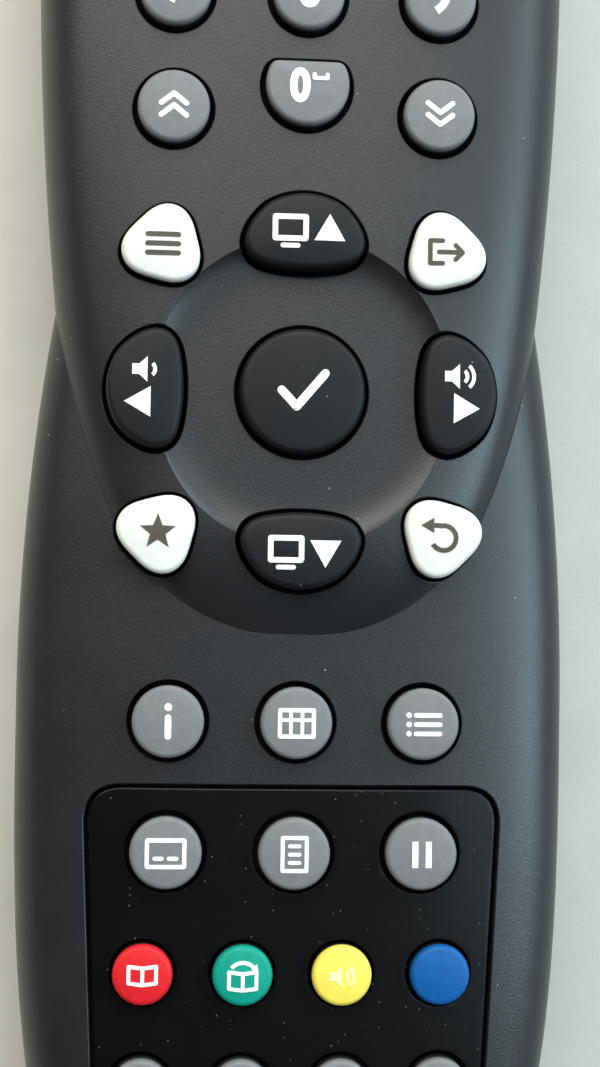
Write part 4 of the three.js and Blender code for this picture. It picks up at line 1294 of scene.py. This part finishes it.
def smooth_guide(shell, turned_over=False):
    """A copy of the bare skin without its flat face, in the frame."""
    guide = placed("guide", shell.data.copy())
    bm = bmesh.new()
    bm.from_mesh(guide.data)
    flat = [face for face in bm.faces
            if abs(face.calc_center_median().z - PARTING) < SEAT and abs(face.normal.z) > 0.99]
    bmesh.ops.delete(bm, geom=flat, context="FACES")
    if turned_over:
        bmesh.ops.reverse_faces(bm, faces=bm.faces)
    bmesh.ops.translate(bm, verts=bm.verts, vec=(0, OK_Y, 0))
    bm.to_mesh(guide.data)
    bm.free()
    bpy.context.view_layer.update()
    return guide


def window_block(grow):
    low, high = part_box("infrared_window")
    return block(low.x - grow, high.x + grow, low.y - OK_Y - grow, NOSE_Y + OVERRUN,
                 low.z - grow, high.z + grow)


def dress_upper_housing():
    shell, handle = head_and_handle(True, SEAM_HIGH)
    dish = dish_cutter()
    guides = [smooth_guide(shell), smooth_guide(handle), smooth_guide(dish, True)]
    carve(shell, handle, "UNION")
    carve(shell, dish)
    carve(shell, half_housing("hollow", True, WALL, SEAM_LOW - OVERRUN, INNER_COLUMNS, INNER_STEP))
    bm = bmesh.new()
    for item in KEYS:
        if not in_panel(item):
            key_hole(bm, item, SKIN, HOLE_EDGE)
    carve(shell, solid("holes", bm))
    carve(shell, panel_recess())
    carve(shell, window_block(SEAT))
    finished(shell, "upper_housing", "housing", housing_look, "housing", ["top_shell"], guides=guides)


# Lower housing, battery door and window


def door_blank(grow):
    """The door's plate and its two rails, run out past the heel."""
    reach = DOOR_HALF + grow
    low, high = HEEL_Y - OVERRUN, DOOR_TOP_Y + grow
    floor = -2 * OVERRUN if grow else 0
    plate = block(-reach, reach, low, high, floor, WALL + grow)
    rail_z = WALL - DOOR_RAIL_THICKNESS - grow
    rails = block(-reach - DOOR_RAIL, reach + DOOR_RAIL, low, high, rail_z, WALL + grow)
    return carve(plate, rails, "UNION")


def lower_half(inset=SKIN):
    return half_housing("half", False, inset, SEAM_LOW)


def tube(radius, z0, z1):
    outline = at(circle(radius, 40), Vector((0, SCREW_Y)))
    return skinned("tube", [raised(outline, z0), raised(outline, z1)])


def lip():
    """The rim that stands up inside the upper housing, with its root in the lower one."""
    low, step, top = SEAM_LOW - OVERRUN, SEAM_LOW - SEAT, SEAM_LOW + LIP_HEIGHT
    root, outer, inner = (seam_outline(inset) for inset in (WALL / 2, WALL + SEAT, WALL + SEAT + LIP_WALL))
    section = [(inner, low), (root, low), (root, step), (outer, step), (outer, top), (inner, top),
               (inner, low)]
    return skinned("rim", [raised(outline, height) for outline, height in section])


def dress_lower_housing():
    cell_low, cell_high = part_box("battery_1")
    plate_low, plate_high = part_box("bridge_contact")
    bay_x = -cell_low.x + SEAT
    bay_low = plate_low.y - OK_Y - SEAT
    bay_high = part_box("positive_contact")[1].y - OK_Y + SEAT
    bay_roof = cell_high.z + SEAT
    screw_low, screw_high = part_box("housing_screw")
    head_radius = screw_high.x + SEAT
    seat_z = screw_low.z + SCREW_HEAD + SEAT
    boss_z = seat_z + BOSS_FLOOR
    shell, handle = head_and_handle(False, SEAM_LOW)
    guides = [smooth_guide(shell), smooth_guide(handle)]
    carve(shell, handle, "UNION")
    carve(shell, half_housing("hollow", False, WALL, SEAM_HIGH + OVERRUN, INNER_COLUMNS, INNER_STEP))
    carve(shell, lip(), "UNION")
    reach = DOOR_HALF + DOOR_RAIL + CHANNEL_WALL
    channel_walls = block(-reach, reach, HEEL_Y, DOOR_TOP_Y + CHANNEL_WALL, WALL / 2,
                          WALL + SEAT + CHANNEL_ROOF)
    carve(shell, carve(channel_walls, lower_half(), "INTERSECT"), "UNION")
    bay_walls = block(-bay_x - WALL, bay_x + WALL, bay_low - WALL, bay_high + WALL, WALL, bay_roof + MM)
    carve(shell, bay_walls, "UNION")
    carve(shell, tube(head_radius + BOSS_WALL, WALL, boss_z), "UNION")
    carve(shell, block(-bay_x, bay_x, bay_low, bay_high, 0, bay_roof))
    rib_end = plate_high.y - OK_Y + SEAT
    rib = block(-RIB_HALF, RIB_HALF, rib_end, bay_high - RIB_GAP, bay_roof - RIB_HEIGHT, bay_roof + MM / 2)
    carve(shell, rib, "UNION")
    carve(shell, door_blank(SEAT))
    carve(shell, tube(head_radius, -OVERRUN, seat_z))
    carve(shell, tube(SCREW_HOLE, -OVERRUN, boss_z + OVERRUN))
    carve(shell, window_block(SEAT))
    finished(shell, "lower_housing", "housing", housing_look, "housing", ["bottom_shell"], guides=guides)


def dress_door():
    door = carve(door_blank(0), lower_half(), "INTERSECT")
    for i in range(GRIP_COUNT):
        y = GRIP_TOP_Y - i * GRIP_PITCH
        ends = [*arc(GRIP_HALF_LENGTH, 0, GRIP_WIDTH / 2, -90, 90, 8),
                *arc(-GRIP_HALF_LENGTH, 0, GRIP_WIDTH / 2, 90, 270, 8)]
        outline = [Vector((u, y - GRIP_WIDTH / 2 + v)) for u, v in ends]
        rim, bottom = grown(outline, GRIP_FLARE), grown(outline, -GRIP_TAPER)
        carve(door, skinned("groove", [raised(rim, -OVERRUN / 8), raised(rim, 0),
                                       raised(outline, GRIP_DEPTH / 2), raised(bottom, GRIP_DEPTH)]))
    finished(door, "sliding_door", "battery_door", housing_look, "housing", ["battery_door"])


def dress_window():
    upper = half_housing("upper", True, SKIN, PARTING)
    lower = half_housing("lower", False, SKIN, PARTING)
    block_low = carve(window_block(0), lower, "INTERSECT")
    block_high = carve(window_block(0), upper, "INTERSECT")
    window = carve(block_high, block_low, "UNION")
    finished(window, "nose_window", "housing", window_look, "window", ["infrared_window"])


# What the open battery bay shows


def dress_cell(node, to_head):
    low, high = shifted_box(node)
    radius = (high.z - low.z) / 2
    nub, step, curve = 1.9 * MM, 0.9 * MM, 0.35 * MM
    length = high.y - low.y
    flat = length - step
    profile = [(0, 0.25 * MM), (radius * 0.55, 0.25 * MM), (radius * 0.62, 0), (radius - curve, 0),
               (radius, curve), (radius, flat - curve), (radius - curve, flat),
               (nub + 0.9 * MM, flat - 0.1 * MM), (nub, flat - 0.1 * MM), (nub, length - 0.15 * MM),
               (nub - 0.15 * MM, length), (0, length)]
    start = Vector(((low.x + high.x) / 2, low.y if to_head else high.y, (low.z + high.z) / 2))
    axis = Vector((0, 1 if to_head else -1, 0))
    cell = turned("cell", profile, start, axis, 64)
    name = node.replace("battery", "cell")
    finished(cell, name, "housing", cell_look, "cell", [node])
    metal = cell.data.materials
    metal.append(contact_look)
    for face in cell.data.polygons:
        off_axis = hypot(face.center.x - start.x, face.center.z - start.z)
        if abs(face.normal.y) > 0.6 or off_axis < nub + 0.2 * MM:
            face.material_index = 1


def dress_spring(node, to_head):
    """A conical coil in its node's box, wide at the contact plate and narrow at the cell."""
    low, high = shifted_box(node)
    wire = 0.3 * MM
    foot, tip, turns, per_turn = 3.5 * MM, 2.5 * MM, 3, 24
    centre = Vector(((low.x + high.x) / 2, 0, middle_of("battery_1").z))
    centre.x = middle_of(node.replace("contact_spring", "battery")).x
    start, end = (low.y, high.y) if to_head else (high.y, low.y)
    sign = 1 if to_head else -1
    curve = bpy.data.curves.new("coil", "CURVE")
    curve.dimensions = "3D"
    curve.bevel_depth = wire
    curve.bevel_resolution = 3
    curve.use_fill_caps = True
    spline = curve.splines.new("POLY")
    steps = turns * per_turn
    spline.points.add(steps)
    for i, point in enumerate(spline.points):
        share = i / steps
        angle = 2 * pi * turns * share
        radius = foot + (tip - foot) * share
        along = start + sign * 2 * wire + (end - start - sign * 4 * wire) * share
        point.co = (centre.x + sign * radius * cos(angle), along, centre.z + radius * sin(angle), 1)
    mesh = curve_mesh(curve)
    bm = bmesh.new()
    bm.from_mesh(mesh)
    bpy.data.meshes.remove(mesh)
    name = node.replace("contact_spring", "coil_contact")
    finished(solid(name, bm), name, "housing", contact_look, "contact_metal", [node], 60)


def dress_screw():
    low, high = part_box("housing_screw")
    head, shank, neck = high.x, SCREW_SHANK, SCREW_HEAD
    profile = [(0, 0), (head - 0.5 * MM, 0), (head - 0.15 * MM, 0.2 * MM), (head, 0.55 * MM), (head, neck),
               (shank, neck)]
    thread_end = high.z - low.z - shank
    along, pitch = neck + 0.5 * MM, 0.8 * MM
    while along + pitch < thread_end:
        profile += [(shank * 0.8, along), (shank, along + pitch / 2), (shank * 0.8, along + pitch)]
        along += pitch
    profile += [(shank * 0.8, thread_end), (0, high.z - low.z)]
    screw = turned("screw", profile, Vector((0, SCREW_Y, low.z)), Vector((0, 0, 1)), 40)
    slot_half, slot_wide, slot_deep = 1.3 * MM, 0.3 * MM, 0.9 * MM
    for x, y in ((slot_half, slot_wide), (slot_wide, slot_half)):
        carve(screw, block(-x, x, SCREW_Y - y, SCREW_Y + y, low.z - OVERRUN, low.z + slot_deep))
    finished(screw, "door_screw", "housing", screw_look, "screw_steel", ["housing_screw"])


def dress_inner_nodes():
    """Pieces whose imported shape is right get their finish."""
    finishes = {
        "keypad_mat": sheet_look,
        "circuit_board": board_look,
        "positive_contact": contact_look,
        "negative_contact": contact_look,
        "bridge_contact": contact_look,
        "infrared_led": lens_look,
        "controller_chip": resin_look,
        "ceramic_resonator": ceramic_look,
        "capacitor": resin_look,
        "transistor": resin_look,
    }
    for name, look in finishes.items():
        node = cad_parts[name]
        for place in node.material_slots:
            place.material = look


dress_upper_housing()
dress_panel()
dress_lower_housing()
dress_door()
dress_window()
for item in KEYS:
    dress_key(item)
dress_cell("battery_1", True)
dress_cell("battery_2", False)
dress_spring("contact_spring_1", True)
dress_spring("contact_spring_2", False)
dress_screw()
dress_inner_nodes()

# Floor, light and camera


# painted shade: the table darkens and cools towards +X to stand in for the room's uneven light
PAINTED_FLOOR_SHADE = (0.66, 0.68, 0.7, 1)  # the table is a little greyer towards +X


def make_floor():
    """A pale table, with painted shade that darkens it towards +X."""
    bm = bmesh.new()
    bmesh.ops.create_grid(bm, x_segments=1, y_segments=1, size=30)
    floor = solid("floor", bm)
    look = moulded("table", srgb(222, 221, 211), srgb(214, 213, 203), 0.7, grain_size=1400,
                   grain_depth=0.03 * MM, mottle_size=120)
    tree = look.node_tree
    colour = tree.nodes["Principled BSDF"].inputs["Base Color"]
    parts = add(tree, "ShaderNodeSeparateXYZ", add(tree, "ShaderNodeTexCoord").outputs["Object"])
    # painted shade across the table, darker towards +X
    across = add(tree, "ShaderNodeMapRange", parts.outputs["X"], -2 * HEAD_HALF_WIDTH, 2 * HEAD_HALF_WIDTH,
                 interpolation_type="SMOOTHSTEP")
    shaded = mixed(tree, across.outputs["Result"], colour.links[0].from_socket, PAINTED_FLOOR_SHADE, "MULTIPLY")
    tree.links.new(shaded, colour)
    floor.data.materials.append(look)


def area_light(name, place, target, size, power, colour):
    data = bpy.data.lights.new(name, "AREA")
    data.shape = "RECTANGLE"
    data.size, data.size_y = size
    data.energy = power
    data.color = colour
    lamp = placed(name, data)
    lamp.location = place
    lamp.rotation_euler = (Vector(target) - Vector(place)).to_track_quat("-Z", "Y").to_euler()


LIGHT_REACH = 1.1
LAMPS = [  # name, bearing and rise in degrees, size, watts, tone
    ("ceiling light", 93, 62, (0.75, 0.45), 5.4, (1.0, 1.0, 0.98)),
    ("upper window light", 0, 62, (0.45, 0.45), 2.2, (0.72, 0.9, 1.0)),
    ("window light", 0, 36, (0.45, 0.38), 6.2, (0.66, 0.88, 1.0)),
    ("far light", 90, 36, (0.6, 0.45), 6.0, (1.0, 0.99, 0.93)),
    ("far left light", 136, 40, (0.45, 0.45), 4.6, (1.0, 0.95, 0.88)),
    ("far right light", 42, 25, (0.5, 0.55), 6.0, (0.8, 0.93, 1.0)),
]
HORIZON_RISE, HORIZON_TONE = 4, (0.82, 0.83, 0.83, 1)
CEILING_RISE, CEILING_TONE = 16, (0.08, 0.082, 0.085, 1)


def softbox(name, bearing, rise, size, watts, tone):
    """A square lamp LIGHT_REACH away from the object, in the direction of bearing and rise."""
    level = cos(radians(rise))
    direction = Vector((level * cos(radians(bearing)), level * sin(radians(bearing)), sin(radians(rise))))
    area_light(name, direction * LIGHT_REACH, (0, 0, 0), size, watts, tone)


def make_light():
    """Soft lamps, and a room that is pale at the horizon and dark above it."""
    for lamp in LAMPS:
        softbox(*lamp)
    world = bpy.data.worlds.new("studio")
    bpy.context.scene.world = world
    world.use_nodes = True
    tree = world.node_tree
    parts = add(tree, "ShaderNodeSeparateXYZ", add(tree, "ShaderNodeTexCoord").outputs["Generated"])
    height = add(tree, "ShaderNodeMapRange", parts.outputs["Z"], sin(radians(HORIZON_RISE)),
                 sin(radians(CEILING_RISE)))
    tone = mixed(tree, height.outputs["Result"], HORIZON_TONE, CEILING_TONE)
    tree.links.new(tone, tree.nodes["Background"].inputs["Color"])


SENSOR = 36
FOCAL_LENGTH = SENSOR * 1800 / 1067  # the picture is 1067 points high, and the focal length is 1800 of them
CAMERA_PLACE = (-13.11 * MM, -16.93 * MM, 186.3 * MM)
CAMERA_TURNS = ((0.87, "Z"), (-4.6, "Y"), (2.5, "X"))


def make_camera():
    """Looks down on the middle keys, a little from the left."""
    data = bpy.data.cameras.new("camera")
    data.sensor_width = SENSOR
    data.lens = FOCAL_LENGTH
    data.clip_start = 5 * MM
    camera = placed("camera", data)
    last, middle, first = (Matrix.Rotation(radians(degrees), 4, axis) for degrees, axis in CAMERA_TURNS)
    camera.matrix_world = Matrix.Translation(CAMERA_PLACE) @ (last @ middle @ first)
    bpy.context.scene.camera = camera


make_floor()
make_light()
make_camera()
bpy.context.scene.view_settings.view_transform = "Standard"
